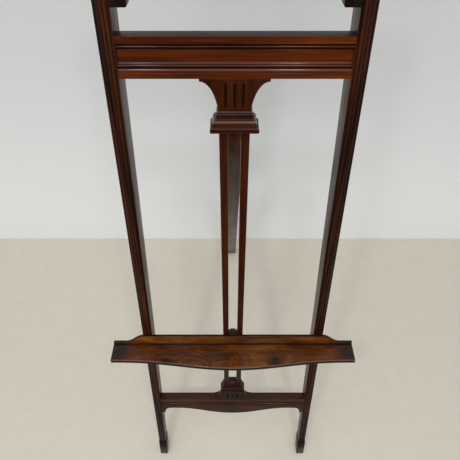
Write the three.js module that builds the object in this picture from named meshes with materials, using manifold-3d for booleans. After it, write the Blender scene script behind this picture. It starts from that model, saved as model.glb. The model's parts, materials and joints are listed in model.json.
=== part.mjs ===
// Display easel in polished mahogany, in millimetres: a front frame that leans back, a shelf that slides on
// the frame's slotted splat, and one rear leg that hinges on the mid rail and folds against the frame.
//
// The front frame is modelled upright and then leaned back as one group. In that group X runs across the
// easel, Y runs back from the frame's front plane, and Z runs up along the frame from the floor line.
import * as THREE from "three";
import { mergeVertices } from "three/addons/utils/BufferGeometryUtils.js";
import Module from "manifold-3d";

const wasm = await Module();
wasm.setup();

// ---- Driving dimensions ----
const GAP = 0.3;
const PLAY = 0.15; // between the knuckles and the pin, and between one knuckle and the next
const PAST = 60; // how far a blank or a cutter runs past the piece that it shapes
const ROD_SIDES = 16;
const LEAN = THREE.MathUtils.degToRad(15);
const FRAME_TOP = 1465;

const UPRIGHT = { outerAtFloor: 227.5, splay: 0.0414, widthAtFloor: 19.7, widthGrowth: 0.00095 };
const UPRIGHT_DEPTH = { atFloor: 29, growth: 0.0103 };
const REED = { count: 3, width: 4.4, depth: 1.3 };

const FOOT = { height: 96, proud: 1.4, chamfer: 4 };
const SPIGOT = { half: 5, front: 9, back: 21, length: 26, root: 4 };
const PAD = { thickness: 3, inset: 0.8, corner: 2 };

const RAIL_DEPTH = 19.5;
const MID_RAIL = { bottom: 1266.4, top: 1322 };
const CREST_RAIL = { bottom: 1395, top: 1465 };
const TENON = { length: 11, thickness: 8, shoulder: 8, root: 10 };
const CORNICE = { height: 26, overhang: 15 };
const CREST_BRACKET = { width: 21, bottom: 1356, round: 2.5, hollow: 14 };

const STRETCHER = { top: 368, edge: 318, bow: 288, depth: 19 };
const APRON = { dropBottom: 292, dropWidth: 10, dropRadius: 21, flat: 12 };

const SPLAT = { top: 1186.7, bottom: 445.3, depth: 14.3, halfTop: 22.5, halfBottom: 21 };
const SLOT = { halfWidth: 9.5, top: 1169, bottom: 461 };
const CAPITAL = { height: 46, halfWide: 48, halfNeck: 23, lip: 4, front: 0.8, back: 18 };
const FLUTE = { count: 3, pitch: 12, radius: 2.1, margin: 6, neckMargin: 2 };
const DOWEL = { radius: 3, top: 1278, upperEnd: 1146, lowerStart: 486, bottom: 356, fromEdge: 5.8 };

const SHELF = { halfLength: 267, level: 645, board: 9.5, endDepth: 49, swell: 19, back: -0.5, round: 1.4 };
const SHELF_SCREWS_AT = [-225, -110, 110, 225];
const UPSTAND = { thickness: 6.5, rise: 28, endRise: 4.6, endFlat: 28, ogee: 41 };
const GUIDE = { halfWidth: 9.1, bottom: 606, top: 663, back: 13.9 };
const CLAMP = { level: 634, boltRadius: 3, boltFront: 3, boltReach: 17, washerRadius: 9, washer: 1.2 };
const CLAMP_PLATE = { thickness: 5, half: 19, rise: 26, corner: 3 };
const KNOB = { radius: 13, length: 16 };
const SCALLOP = { count: 12, radius: 2.3, offset: 1.4, start: 4 };

const CLEAT = { halfWidth: 22, bottom: 1204, top: 1313, thickness: 12, screwX: 14, screwLevel: 1304 };
const HINGE = { level: 1270, radius: 3.7, pinRadius: 1.8, pinProud: 1.5, knuckles: 5 };
const LEAF = { thickness: 1.6, length: 38, halfWidth: 19 };
const LEG = { footBehind: 743, thickness: 20, halfTop: 19.5, halfFoot: 16, head: 20 };
const SCREW = { headRadius: 2.7, shankRadius: 1.3, sink: 1.4, length: 11, longLength: 20 };

// ---- Finishes ----
const wood = (color) => () => new THREE.MeshStandardMaterial({ color, roughness: 0.25, metalness: 0 });
const darkWood = wood(0x2a1009);
const redWood = wood(0x4b1d08);
const warmWood = wood(0x55290f);
const brass = () => new THREE.MeshStandardMaterial({ color: 0xa9853f, roughness: 0.35, metalness: 1 });
const steel = () => new THREE.MeshStandardMaterial({ color: 0x6d6a66, roughness: 0.4, metalness: 1 });
const felt = () => new THREE.MeshStandardMaterial({ color: 0x1b1512, roughness: 0.95, metalness: 0 });

// ---- Solids: three.js geometry in and out of manifold-3d ----
function toSolid(geometry) {
  const bare = geometry.clone();
  bare.deleteAttribute("normal");
  bare.deleteAttribute("uv");
  const merged = mergeVertices(bare, 1e-4);
  const corners = merged.index.array;
  const kept = [];
  for (let i = 0; i < corners.length; i += 3) {
    const [a, b, c] = [corners[i], corners[i + 1], corners[i + 2]];
    if (a !== b && b !== c && c !== a) kept.push(a, b, c);
  }
  const vertProperties = merged.attributes.position.array;
  return new wasm.Manifold(new wasm.Mesh({ numProp: 3, vertProperties, triVerts: new Uint32Array(kept) }));
}

function toGeometry(solid) {
  const mesh = solid.getMesh();
  const geometry = new THREE.BufferGeometry();
  geometry.setAttribute("position", new THREE.BufferAttribute(mesh.vertProperties, 3));
  geometry.setIndex(new THREE.BufferAttribute(mesh.triVerts, 1));
  const facets = geometry.toNonIndexed();
  facets.computeVertexNormals();
  return facets;
}

function combine(operation, first, others) {
  const result = others.reduce((made, other) => made[operation](toSolid(other)), toSolid(first));
  return toGeometry(result);
}

const join = (first, ...others) => combine("add", first, others);
const cut = (first, ...others) => combine("subtract", first, others);
const common = (first, ...others) => combine("intersect", first, others);

// ---- Geometry helpers ----
const outlineOf = (points) => new THREE.Shape(points.map(([a, b]) => new THREE.Vector2(a, b)));

function mirrored(rightHalf) {
  const leftHalf = rightHalf.map(([x, z]) => [-x, z]).reverse();
  return rightHalf.concat(leftHalf);
}

// An outline seen from the front (X, Z), extruded back from the depth `front` to the depth `back`.
function elevation(points, front, back, curveSegments = 12) {
  const shape = Array.isArray(points) ? outlineOf(points) : points;
  const settings = { depth: back - front, bevelEnabled: false, curveSegments };
  const geometry = new THREE.ExtrudeGeometry(shape, settings);
  return geometry.rotateX(Math.PI / 2).translate(0, back, 0);
}

// An outline seen from the side (Y, Z), extruded across the easel from -half to +half.
function sideProfile(points, half) {
  const geometry = new THREE.ExtrudeGeometry(outlineOf(points), { depth: 2 * half, bevelEnabled: false });
  const across = new THREE.Matrix4().set(0, 0, 1, -half, 1, 0, 0, 0, 0, 1, 0, 0, 0, 0, 0, 1);
  return geometry.applyMatrix4(across);
}

// A box given by its lowest and highest corners.
function block([x0, y0, z0], [x1, y1, z1]) {
  const box = new THREE.BoxGeometry(x1 - x0, y1 - y0, z1 - z0);
  return box.translate((x0 + x1) / 2, (y0 + y1) / 2, (z0 + z1) / 2);
}

function rod(radius, start, end, sides = ROD_SIDES) {
  const from = new THREE.Vector3(...start);
  const run = new THREE.Vector3(...end).sub(from);
  const upward = new THREE.Vector3(0, 1, 0);
  const turn = new THREE.Quaternion().setFromUnitVectors(upward, run.clone().normalize());
  const cylinder = new THREE.CylinderGeometry(radius, radius, run.length(), sides);
  return cylinder.applyQuaternion(turn).translate(...from.addScaledVector(run, 0.5).toArray());
}

// A turned shape whose axis runs back along Y from the depth `front`: points are [radius, distance back].
function turned(points, x, front, z, sides = 24) {
  const profile = points.map(([radius, along]) => new THREE.Vector2(radius, along));
  return new THREE.LatheGeometry(profile, sides).translate(x, front, z);
}

// A block with the same moulding on its front and sides, mitred at the corners, and a flat back.
function mitredBlock(profile, halfWidth, front, back) {
  const right = profile.map(([z, proud]) => [halfWidth + proud, z]);
  const fromFront = elevation(mirrored(right), front - PAST, back);
  const faces = profile.map(([z, proud]) => [front - proud, z]);
  const [low, high] = [profile[0][0], profile[profile.length - 1][0]];
  return common(fromFront, sideProfile([[back, low], ...faces, [back, high]], halfWidth + PAST));
}

function moveVertices(geometry, move) {
  const position = geometry.attributes.position;
  const point = new THREE.Vector3();
  for (let i = 0; i < position.count; i++) {
    move(point.fromBufferAttribute(position, i));
    position.setXYZ(i, point.x, point.y, point.z);
  }
  return geometry;
}

// ---- The lines that the frame follows ----
const outerEdge = (z) => UPRIGHT.outerAtFloor - UPRIGHT.splay * z;
const uprightWidth = (z) => UPRIGHT.widthAtFloor + UPRIGHT.widthGrowth * z;
const innerEdge = (z) => outerEdge(z) - uprightWidth(z);
const uprightDepth = (z) => UPRIGHT_DEPTH.atFloor + UPRIGHT_DEPTH.growth * z;
const splatHalf = (z) =>
  THREE.MathUtils.mapLinear(z, SPLAT.bottom, SPLAT.top, SPLAT.halfBottom, SPLAT.halfTop);
// Height along the frame at which a line `above` the floor crosses the depth y.
const floorLine = (y, above = 0) => (above + y * Math.sin(LEAN)) / Math.cos(LEAN);

// ---- Groups ----
const easel = new THREE.Group();
const frame = new THREE.Group();
frame.rotation.x = -LEAN;
easel.add(frame);

function add(group, name, geometry, material) {
  const mesh = new THREE.Mesh(geometry, material());
  mesh.name = name;
  group.add(mesh);
}

const SIDES = [["left", -1], ["right", 1]];

// ---- Uprights, feet and pads ----
// The section of an upright, as the share of the width from its middle and the depth from the front plane.
function reededSection() {
  const half = uprightWidth(0) / 2;
  const firstReed = -REED.count * REED.width / 2;
  const points = [[-half, REED.depth], [firstReed - 0.6, REED.depth]];
  for (let reed = 0; reed < REED.count; reed++) {
    const middle = firstReed + (reed + 0.5) * REED.width;
    for (const turn of [-1, -0.5, 0, 0.5, 1]) {
      const angle = turn * 1.35;
      points.push([middle + 0.47 * REED.width * Math.sin(angle), REED.depth * (1 - Math.cos(angle))]);
    }
  }
  points.push([-firstReed + 0.6, REED.depth], [half, REED.depth]);
  points.push([half, uprightDepth(0)], [-half, uprightDepth(0)]);
  return points;
}

function mortise(side, z0, z1) {
  const y0 = (RAIL_DEPTH - TENON.thickness) / 2 - GAP;
  const inner = innerEdge((z0 + z1) / 2);
  const reach = TENON.length + GAP;
  const [near, far] = [side * (inner - TENON.root), side * (inner + reach)];
  return block([Math.min(near, far), y0, z0 - GAP], [Math.max(near, far), RAIL_DEPTH - y0, z1 + GAP]);
}

const tenonSpans = [
  [MID_RAIL.bottom + TENON.shoulder, MID_RAIL.top - TENON.shoulder],
  [CREST_RAIL.bottom + TENON.shoulder, CREST_RAIL.top - TENON.shoulder],
  [STRETCHER.edge + TENON.shoulder, STRETCHER.top - TENON.shoulder],
];

function upright(side) {
  const length = FRAME_TOP - FOOT.height - 2 * GAP;
  const bar = new THREE.ExtrudeGeometry(outlineOf(reededSection()), { depth: length, bevelEnabled: false });
  bar.translate(0, 0, FOOT.height + GAP);
  moveVertices(bar, (p) => {
    const middle = outerEdge(p.z) - uprightWidth(p.z) / 2;
    p.x = side * middle + p.x * uprightWidth(p.z) / uprightWidth(0);
    if (p.y > REED.depth + 1) p.y = uprightDepth(p.z);
  });
  const middle = side * (outerEdge(FOOT.height) - uprightWidth(FOOT.height) / 2);
  const peg = block(
    [middle - SPIGOT.half, SPIGOT.front, FOOT.height - SPIGOT.length],
    [middle + SPIGOT.half, SPIGOT.back, FOOT.height + SPIGOT.root],
  );
  return cut(join(bar, peg), ...tenonSpans.map(([z0, z1]) => mortise(side, z0, z1)));
}

function foot(side) {
  const { height, proud, chamfer } = FOOT;
  const neck = height - chamfer;
  const outline = [
    [outerEdge(0) + proud, -PAST],
    [outerEdge(neck) + proud, neck],
    [outerEdge(height), height],
    [innerEdge(height), height],
    [innerEdge(neck) - proud, neck],
    [innerEdge(0) - proud, -PAST],
  ].map(([x, z]) => [side * x, z]);
  const [front, back] = [-proud, uprightDepth(0) + proud];
  const profile = [
    [front, floorLine(front, PAD.thickness)],
    [back, floorLine(back, PAD.thickness)],
    [back + neck * UPRIGHT_DEPTH.growth, neck],
    [uprightDepth(height), height],
    [0, height],
    [front, neck],
  ];
  const middle = side * (outerEdge(height) - uprightWidth(height) / 2);
  const socket = block(
    [middle - SPIGOT.half - GAP, SPIGOT.front - GAP, height - SPIGOT.length - GAP],
    [middle + SPIGOT.half + GAP, SPIGOT.back + GAP, height + SPIGOT.root],
  );
  const fromFront = elevation(outline, front - PAST, back + PAST);
  return cut(common(fromFront, sideProfile(profile, outerEdge(0) + PAST)), socket);
}

// A flat pad under a sole. The pads lie level, so they are placed outside the leaning group.
function solePad([x0, x1], [y0, y1]) {
  const [halfX, halfY] = [(x1 - x0) / 2 - PAD.inset, (y1 - y0) / 2 - PAD.inset];
  const { corner } = PAD;
  const outline = new THREE.Shape();
  outline.moveTo(-halfX + corner, -halfY);
  for (const [sx, sy, turn] of [[1, -1, -0.5], [1, 1, 0], [-1, 1, 0.5], [-1, -1, 1]]) {
    const start = turn * Math.PI;
    outline.absarc(sx * (halfX - corner), sy * (halfY - corner), corner, start, start + Math.PI / 2);
  }
  const slab = new THREE.ExtrudeGeometry(outline, {
    depth: PAD.thickness - GAP,
    bevelEnabled: false,
    curveSegments: 3,
  });
  return slab.translate((x0 + x1) / 2, (y0 + y1) / 2, 0);
}

for (const [word, side] of SIDES) {
  add(frame, `${word}_upright`, upright(side), darkWood);
  add(frame, `${word}_foot`, foot(side), darkWood);
  const xs = [side * (outerEdge(0) + FOOT.proud), side * (innerEdge(0) - FOOT.proud)].sort((a, b) => a - b);
  const ys = [-FOOT.proud, uprightDepth(0) + FOOT.proud].map((y) => y / Math.cos(LEAN));
  add(easel, `${word}_foot_pad`, solePad(xs, ys), felt);
}

// ---- Rails ----
// Points of a half-round bead between two heights, bulging forward from the depth y by `bulge`.
function bead(z0, z1, y, bulge, steps = 6) {
  const points = [];
  for (let i = 0; i <= steps; i++) {
    const angle = Math.PI * i / steps;
    points.push([y - bulge * Math.sin(angle), (z0 + z1) / 2 - (z1 - z0) / 2 * Math.cos(angle)]);
  }
  return points;
}

// Points of a quarter ellipse from [y0, z0] to [y1, z1]: a round leaves the first point upright, a hollow
// leaves it level.
function quarter([y0, z0], [y1, z1], round, steps = 4) {
  const points = [];
  for (let i = 0; i <= steps; i++) {
    const angle = Math.PI / 2 * i / steps;
    const [sine, cosine] = [Math.sin(angle), Math.cos(angle)];
    const [away, up] = round ? [1 - cosine, sine] : [sine, 1 - cosine];
    points.push([y0 + (y1 - y0) * away, z0 + (z1 - z0) * up]);
  }
  return points;
}

// The front of an entablature-like rail, from the bottom up: a flat band, a thumb, a bead, a hollow, a flat
// panel, a bead under a quirk, and a flat fascia.
function mouldedFace(bottom, top) {
  const down = (distance) => top - distance;
  const up = (distance) => bottom + distance;
  return [
    [0, up(0)],
    [0, up(7.6)],
    ...quarter([0.6, up(7.8)], [3.4, up(13.2)], true),
    [4.6, up(13.3)],
    [4.6, up(14.6)],
    ...bead(up(14.8), up(18.2), 4.4, 1.8),
    ...quarter([3.4, up(18.8)], [5.4, up(22)], false),
    [5.4, down(18.8)],
    [6, down(18.6)],
    [6, down(15.8)],
    ...bead(down(15.6), down(12.8), 5, 1.8),
    [5.6, down(12.4)],
    [5.6, down(9.6)],
    [0, down(9.2)],
    [0, down(0.6)],
    [0.6, down(0)],
  ];
}

// Ends a piece on the slanting inner faces of the uprights.
const fitBetweenUprights = (geometry) =>
  moveVertices(geometry, (p) => {
    p.x = Math.sign(p.x) * (innerEdge(p.z) - GAP);
  });

function tenons([z0, z1], depth) {
  const middle = innerEdge((z0 + z1) / 2);
  const y0 = (depth - TENON.thickness) / 2;
  return SIDES.map(([, side]) => {
    const ends = [side * (middle - TENON.root), side * (middle + TENON.length - GAP)].sort((a, b) => a - b);
    return block([ends[0], y0, z0], [ends[1], y0 + TENON.thickness, z1]);
  });
}

const mouldedRail = ({ bottom, top }, depth) =>
  fitBetweenUprights(sideProfile([[depth, bottom], ...mouldedFace(bottom, top), [depth, top]], PAST));

// Two dowels each pin the capital or the base block, its collar and a stile to the rail that carries them.
const dowelX = SPLAT.halfBottom - DOWEL.fromEdge;
const dowelHoles = (z0, z1) =>
  SIDES.map(([, side]) => {
    const [x, y] = [side * dowelX, SPLAT.depth / 2];
    return rod(DOWEL.radius + GAP, [x, y, z0 - GAP], [x, y, z1 + GAP]);
  });
const upperDowelHoles = dowelHoles(DOWEL.upperEnd, DOWEL.top);
const lowerDowelHoles = dowelHoles(DOWEL.bottom, DOWEL.lowerStart);
for (const [word, side] of SIDES) {
  const [x, y] = [side * dowelX, SPLAT.depth / 2];
  const dowel = (z0, z1) => rod(DOWEL.radius, [x, y, z0], [x, y, z1]);
  add(frame, `${word}_upper_dowel`, dowel(DOWEL.upperEnd, DOWEL.top), warmWood);
  add(frame, `${word}_lower_dowel`, dowel(DOWEL.bottom, DOWEL.lowerStart), warmWood);
}

function crestBracket(side) {
  const { width, bottom, round, hollow } = CREST_BRACKET;
  const top = CREST_RAIL.bottom - GAP;
  const inner = innerEdge(bottom) - width;
  const shape = new THREE.Shape();
  shape.moveTo(innerEdge(bottom) - GAP, bottom);
  shape.lineTo(inner + round, bottom);
  shape.quadraticCurveTo(inner, bottom, inner, bottom + round);
  shape.lineTo(inner, top - hollow);
  shape.absarc(inner - hollow, top - hollow, hollow, 0, Math.PI / 2);
  shape.lineTo(innerEdge(top) - GAP, top);
  const geometry = elevation(shape, 0, RAIL_DEPTH, 6);
  return side > 0 ? geometry : toGeometry(toSolid(geometry).mirror([1, 0, 0]));
}

function corniceProfile() {
  const base = CREST_RAIL.top + GAP;
  const { height, overhang } = CORNICE;
  return [
    [base, 0.5],
    [base + 3, 0.5],
    ...quarter([1.5, base + 3.5], [overhang - 4, base + 12], false, 6).map(([proud, z]) => [z, proud]),
    [base + 12.5, overhang - 3],
    ...bead(base + 13, base + height - 5, -(overhang - 2.5), 2.5).map(([y, z]) => [z, -y]),
    [base + height - 5, overhang - 5],
    [base + height - 0.8, overhang - 5],
    [base + height, overhang - 6],
  ];
}

const [midTenons, crestTenons, stretcherTenons] = tenonSpans.map((span) => tenons(span, RAIL_DEPTH));
const midRail = cut(join(mouldedRail(MID_RAIL, RAIL_DEPTH), ...midTenons), ...upperDowelHoles);
add(frame, "crest_rail", join(mouldedRail(CREST_RAIL, RAIL_DEPTH), ...crestTenons), redWood);
const corniceBack = uprightDepth(FRAME_TOP) + 1;
add(frame, "cornice", mitredBlock(corniceProfile(), outerEdge(FRAME_TOP), 0, corniceBack), redWood);
SIDES.forEach(([word, side]) => add(frame, `${word}_crest_bracket`, crestBracket(side), darkWood));

// ---- Stretcher: a moulded upper part over a shaped apron ----
function stretcherOutline() {
  const { top, edge, bow } = STRETCHER;
  const { dropBottom, dropWidth, dropRadius, flat } = APRON;
  const shape = new THREE.Shape();
  const inner = innerEdge(dropBottom) - GAP - dropWidth;
  const bowStart = inner - dropRadius - flat;
  shape.moveTo(innerEdge(top) - GAP, top);
  shape.lineTo(innerEdge(dropBottom) - GAP, dropBottom);
  shape.lineTo(inner, dropBottom);
  shape.quadraticCurveTo(inner - 1, edge - 2, inner - dropRadius, edge);
  shape.lineTo(bowStart, edge);
  shape.bezierCurveTo(bowStart * 0.6, edge, bowStart * 0.42, bow, 0, bow);
  shape.bezierCurveTo(-bowStart * 0.42, bow, -bowStart * 0.6, edge, -bowStart, edge);
  shape.lineTo(-inner + dropRadius, edge);
  shape.quadraticCurveTo(-inner + 1, edge - 2, -inner, dropBottom);
  shape.lineTo(-innerEdge(dropBottom) + GAP, dropBottom);
  shape.lineTo(-innerEdge(top) + GAP, top);
  return shape;
}

function stretcherFace() {
  const { top, bow } = STRETCHER;
  const down = (distance) => top - distance;
  return [
    [0, bow - PAST],
    [0, down(27)],
    ...quarter([0.4, down(26.8)], [3.2, down(21)], true),
    [4.2, down(20.8)],
    [4.2, down(18.4)],
    ...bead(down(18.2), down(14.2), 4.2, 2),
    [4.6, down(14)],
    [4.6, down(11)],
    [0, down(10.6)],
    [0, down(0.6)],
    [0.6, down(0)],
  ];
}

function stretcher() {
  const { depth, bow, top } = STRETCHER;
  const section = [[depth, bow - PAST], ...stretcherFace(), [depth, top]];
  const moulded = sideProfile(section, innerEdge(bow) + PAST);
  const shaped = common(moulded, elevation(stretcherOutline(), -PAST, depth + PAST, 14));
  return cut(join(shaped, ...stretcherTenons), ...lowerDowelHoles);
}
add(frame, "stretcher", stretcher(), redWood);

// ---- Capital and base block: the same fluted bracket, the base one upside down ----
function flute(x, z0, z1) {
  const { radius } = FLUTE;
  const ball = (start) =>
    [0, 1, 2, 3].map((i) => {
      const angle = start + Math.PI / 2 * i / 3;
      return [radius * Math.abs(Math.cos(angle)), Math.sin(angle) * radius];
    });
  const profile = [
    ...ball(-Math.PI / 2).map(([r, z]) => new THREE.Vector2(r, z0 + radius + z)),
    ...ball(0).map(([r, z]) => new THREE.Vector2(r, z1 - radius + z)),
  ];
  return new THREE.LatheGeometry(profile, 14).rotateX(Math.PI / 2).translate(x, CAPITAL.front, 0);
}

function flutedBracket(wideEnd, narrowEnd) {
  const { halfWide, halfNeck, lip, front, back } = CAPITAL;
  const up = Math.sign(wideEnd - narrowEnd);
  const shape = new THREE.Shape();
  const lipEdge = wideEnd - up * lip;
  shape.moveTo(halfWide, wideEnd);
  shape.lineTo(halfWide, lipEdge);
  shape.bezierCurveTo(halfNeck + 13, lipEdge, halfNeck + 4, lipEdge - up * 16, halfNeck, narrowEnd);
  shape.lineTo(-halfNeck, narrowEnd);
  shape.bezierCurveTo(-halfNeck - 4, lipEdge - up * 16, -halfNeck - 13, lipEdge, -halfWide, lipEdge);
  shape.lineTo(-halfWide, wideEnd);
  const ends = [wideEnd - up * FLUTE.margin, narrowEnd + up * FLUTE.neckMargin].sort((a, b) => a - b);
  const first = -(FLUTE.count - 1) / 2 * FLUTE.pitch;
  const flutes = Array.from({ length: FLUTE.count }, (_, i) => flute(first + i * FLUTE.pitch, ...ends));
  return cut(elevation(shape, front, back, 14), ...flutes);
}

const capitalTop = MID_RAIL.bottom - GAP;
const capitalBottom = capitalTop - CAPITAL.height;
const baseBottom = STRETCHER.top + GAP;
const baseTop = baseBottom + CAPITAL.height;
add(frame, "capital", cut(flutedBracket(capitalTop, capitalBottom), ...upperDowelHoles), redWood);
add(frame, "fluted_base", cut(flutedBracket(baseBottom, baseTop), ...lowerDowelHoles), redWood);

// ---- Collars: stepped mouldings round the front and sides of the splat ----
function collarProfile(low, high, wide, narrow) {
  return [
    [low, 2],
    [low + 2.6, 2],
    [low + 3, wide - 1],
    ...bead(low + 3, low + 11, -(wide - 1.2), 1.2, 4).map(([y, z]) => [z, -y]),
    [low + 11.6, wide - 3],
    ...quarter([wide - 3, low + 12], [narrow + 0.8, high - 12], true).map(([proud, z]) => [z, proud]),
    [high - 11.6, narrow],
    [high - 4, narrow],
    ...quarter([narrow - 0.6, high - 3.6], [0.6, high], true, 3).map(([proud, z]) => [z, proud]),
  ];
}

function collar(low, high, wide, narrow, holes) {
  const profile = collarProfile(low, high, wide, narrow);
  const solid = mitredBlock(profile, splatHalf((low + high) / 2), 0, CAPITAL.back);
  return cut(solid, ...holes);
}
const upperCollar = collar(SPLAT.top + GAP, capitalBottom - GAP, 12.5, 3.4, upperDowelHoles);
const lowerCollar = collar(baseTop + GAP, SPLAT.bottom - GAP, 9.5, 3.2, lowerDowelHoles);
add(frame, "upper_collar", upperCollar, redWood);
add(frame, "lower_collar", lowerCollar, darkWood);

// ---- Splat: two stiles with a block between them at each end, which leaves the slot open ----
function stile(side) {
  const bar = block([-1, 0, SPLAT.bottom], [1, SPLAT.depth, SPLAT.top]);
  moveVertices(bar, (p) => {
    p.x = side * (p.x * side > 0 ? splatHalf(p.z) : SLOT.halfWidth);
  });
  return cut(bar, ...upperDowelHoles, ...lowerDowelHoles);
}

const fillHalf = SLOT.halfWidth - GAP;
SIDES.forEach(([word, side]) => add(frame, `splat_${word}_stile`, stile(side), redWood));
const headBlock = block([-fillHalf, 0.2, SLOT.top], [fillHalf, SPLAT.depth - 0.2, SPLAT.top]);
const footBlock = block([-fillHalf, 0.2, SPLAT.bottom], [fillHalf, SPLAT.depth - 0.2, SLOT.bottom]);
add(frame, "splat_head_block", headBlock, redWood);
add(frame, "splat_foot_block", footBlock, darkWood);

// ---- Screws ----
const screwProfile = (extra, length) => [
  [0, -extra],
  [SCREW.headRadius + extra, -extra],
  [SCREW.headRadius + extra, 0.2],
  [SCREW.shankRadius + extra, SCREW.sink + 0.4],
  [SCREW.shankRadius + extra, length - 2],
  [0, length + 2 * extra],
];

// A countersunk screw's turned form, driven forward (-1) or backward (1) from the face of its head at `at`.
function placeScrew(profile, [x, y, z], drive) {
  const points = profile.map(([radius, along]) => new THREE.Vector2(radius, along));
  return new THREE.LatheGeometry(points, 14).rotateX(drive > 0 ? 0 : Math.PI).translate(x, y, z);
}

function screw([x, y, z], drive, length = SCREW.length) {
  const head = placeScrew(screwProfile(0, length), [x, y + drive * 0.05, z], drive);
  const slot = new THREE.BoxGeometry(2 * SCREW.headRadius + 1, 1.4, 0.7);
  return cut(head, slot.translate(x, y, z));
}

const screwHole = (at, drive, length = SCREW.length) => placeScrew(screwProfile(GAP, length), at, drive);

// ---- Hinge cleat on the back of the mid rail ----
const cleatFront = RAIL_DEPTH + GAP;
const cleatBack = cleatFront + CLEAT.thickness;
const pin = { y: cleatBack + GAP + HINGE.radius, z: HINGE.level };
const leafBack = cleatBack + GAP + LEAF.thickness;

const leafScrews = [[-12, 15], [12, 15], [0, 28]];
const fixedLeafScrews = leafScrews.map(([x, down]) => [x, leafBack, pin.z - down]);
const cleatScrews = SIDES.map(([, side]) => [side * CLEAT.screwX, cleatBack, CLEAT.screwLevel]);
const forward = -1;
const backward = 1;

const longHoles = cleatScrews.map((at) => screwHole(at, forward, SCREW.longLength));
const cleatHoles = [...fixedLeafScrews.map((at) => screwHole(at, forward)), ...longHoles];
const cleatBlank = block(
  [-CLEAT.halfWidth, cleatFront, CLEAT.bottom],
  [CLEAT.halfWidth, cleatBack, CLEAT.top],
);
add(frame, "hinge_cleat", cut(cleatBlank, ...cleatHoles), darkWood);
add(frame, "mid_rail", cut(midRail, ...longHoles), redWood);
cleatScrews.forEach((at, i) => {
  add(frame, `cleat_screw_${i + 1}`, screw(at, forward, SCREW.longLength), steel);
});

// ---- Hinge ----
// One leaf: a plate that hangs from its share of the knuckles, in coordinates about the pin. `facing` is -1
// where the plate lies in front of the pin and 1 where it lies behind it.
function hingeLeaf(facing, ownsKnuckle, holes) {
  const { radius, knuckles, pinRadius } = HINGE;
  const { thickness, length, halfWidth } = LEAF;
  const root = 1;
  const share = 2 * halfWidth / knuckles;
  const depths = [facing * (radius - thickness), facing * radius].sort((a, b) => a - b);
  const plate = block([-halfWidth, depths[0], -length], [halfWidth, depths[1], -radius - root / 2]);
  const own = Array.from({ length: knuckles }, (_, i) => i).filter(ownsKnuckle);
  const rolls = own.flatMap((i) => {
    const [x0, x1] = [-halfWidth + i * share + PLAY, -halfWidth + (i + 1) * share - PLAY];
    return [
      rod(radius, [x0, 0, 0], [x1, 0, 0], 24),
      block([x0, depths[0], -radius - root], [x1, depths[1], 0]),
    ];
  });
  const bore = rod(pinRadius + PLAY, [-halfWidth - PAST, 0, 0], [halfWidth + PAST, 0, 0], 24);
  return cut(join(plate, ...rolls), bore, ...holes);
}

const isEven = (i) => i % 2 === 0;
const isOdd = (i) => i % 2 === 1;
const aboutPin = ([x, y, z]) => [x, y - pin.y, z - pin.z];
const fixedHoles = fixedLeafScrews.map((at) => screwHole(aboutPin(at), forward));
const fixedLeaf = hingeLeaf(-1, isEven, fixedHoles).translate(0, pin.y, pin.z);
add(frame, "hinge_fixed_leaf", fixedLeaf, brass);
const pinReach = LEAF.halfWidth + HINGE.pinProud;
const hingePin = rod(HINGE.pinRadius, [-pinReach, pin.y, pin.z], [pinReach, pin.y, pin.z], 20);
add(frame, "hinge_pin", hingePin, steel);
fixedLeafScrews.forEach((at, i) => add(frame, `fixed_leaf_screw_${i + 1}`, screw(at, forward), brass));

// ---- Rear leg ----
// The leg is modelled straight down from the pin, then swung back until its sole meets the floor.
const pinWorld = new THREE.Vector3(0, pin.y, pin.z).applyAxisAngle(new THREE.Vector3(1, 0, 0), -LEAN);
const legFace = HINGE.radius + GAP;
const legMiddle = legFace + LEG.thickness / 2;
const footAway = Math.hypot(LEG.footBehind - pinWorld.y, pinWorld.z);
const legSwing = Math.atan2(LEG.footBehind - pinWorld.y, pinWorld.z) - Math.asin(legMiddle / footAway);
const legGroup = new THREE.Group();
legGroup.position.copy(pinWorld);
legGroup.rotation.x = legSwing;
easel.add(legGroup);

// Distance down the leg at which its plane at depth y meets a line `above` the floor.
const legDownTo = (y, above) => (pinWorld.z - above + y * Math.sin(legSwing)) / Math.cos(legSwing);

const legLeafScrews = leafScrews.map(([x, down]) => [x, HINGE.radius - LEAF.thickness, -down]);

function rearLeg() {
  const opening = legSwing + LEAN;
  const bevel = (y) => (HINGE.radius + y * Math.cos(opening)) / Math.sin(opening);
  const back = legFace + LEG.thickness;
  const bevelTop = (LEG.head * Math.sin(opening) - HINGE.radius) / Math.cos(opening);
  const outline = [
    [legFace, -legDownTo(legFace, PAD.thickness)],
    [back, -legDownTo(back, PAD.thickness)],
    [back, LEG.head],
    [bevelTop, LEG.head],
    [legFace, bevel(legFace)],
  ];
  const board = sideProfile(outline, 1);
  const length = legDownTo(legMiddle, 0);
  moveVertices(board, (p) => {
    p.x *= THREE.MathUtils.mapLinear(p.z, LEG.head, -length, LEG.halfTop, LEG.halfFoot);
  });
  return cut(board, ...legLeafScrews.map((at) => screwHole(at, backward)));
}
add(legGroup, "rear_leg", rearLeg(), darkWood);
const legHoles = legLeafScrews.map((at) => screwHole(at, backward));
add(legGroup, "hinge_leg_leaf", hingeLeaf(1, isOdd, legHoles), brass);
legLeafScrews.forEach((at, i) => add(legGroup, `leg_leaf_screw_${i + 1}`, screw(at, backward), brass));

const soleY = [legFace, legFace + LEG.thickness].map((y) => {
  const down = legDownTo(y, PAD.thickness);
  return pinWorld.y + y * Math.cos(legSwing) + down * Math.sin(legSwing);
});
add(easel, "rear_leg_pad", solePad([-LEG.halfFoot, LEG.halfFoot], soleY), felt);

// ---- Shelf: a serpentine board against an upstand with ogee ends ----
const upstandFront = SHELF.back - UPSTAND.thickness;
const boardBottom = SHELF.level - SHELF.board;

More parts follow.
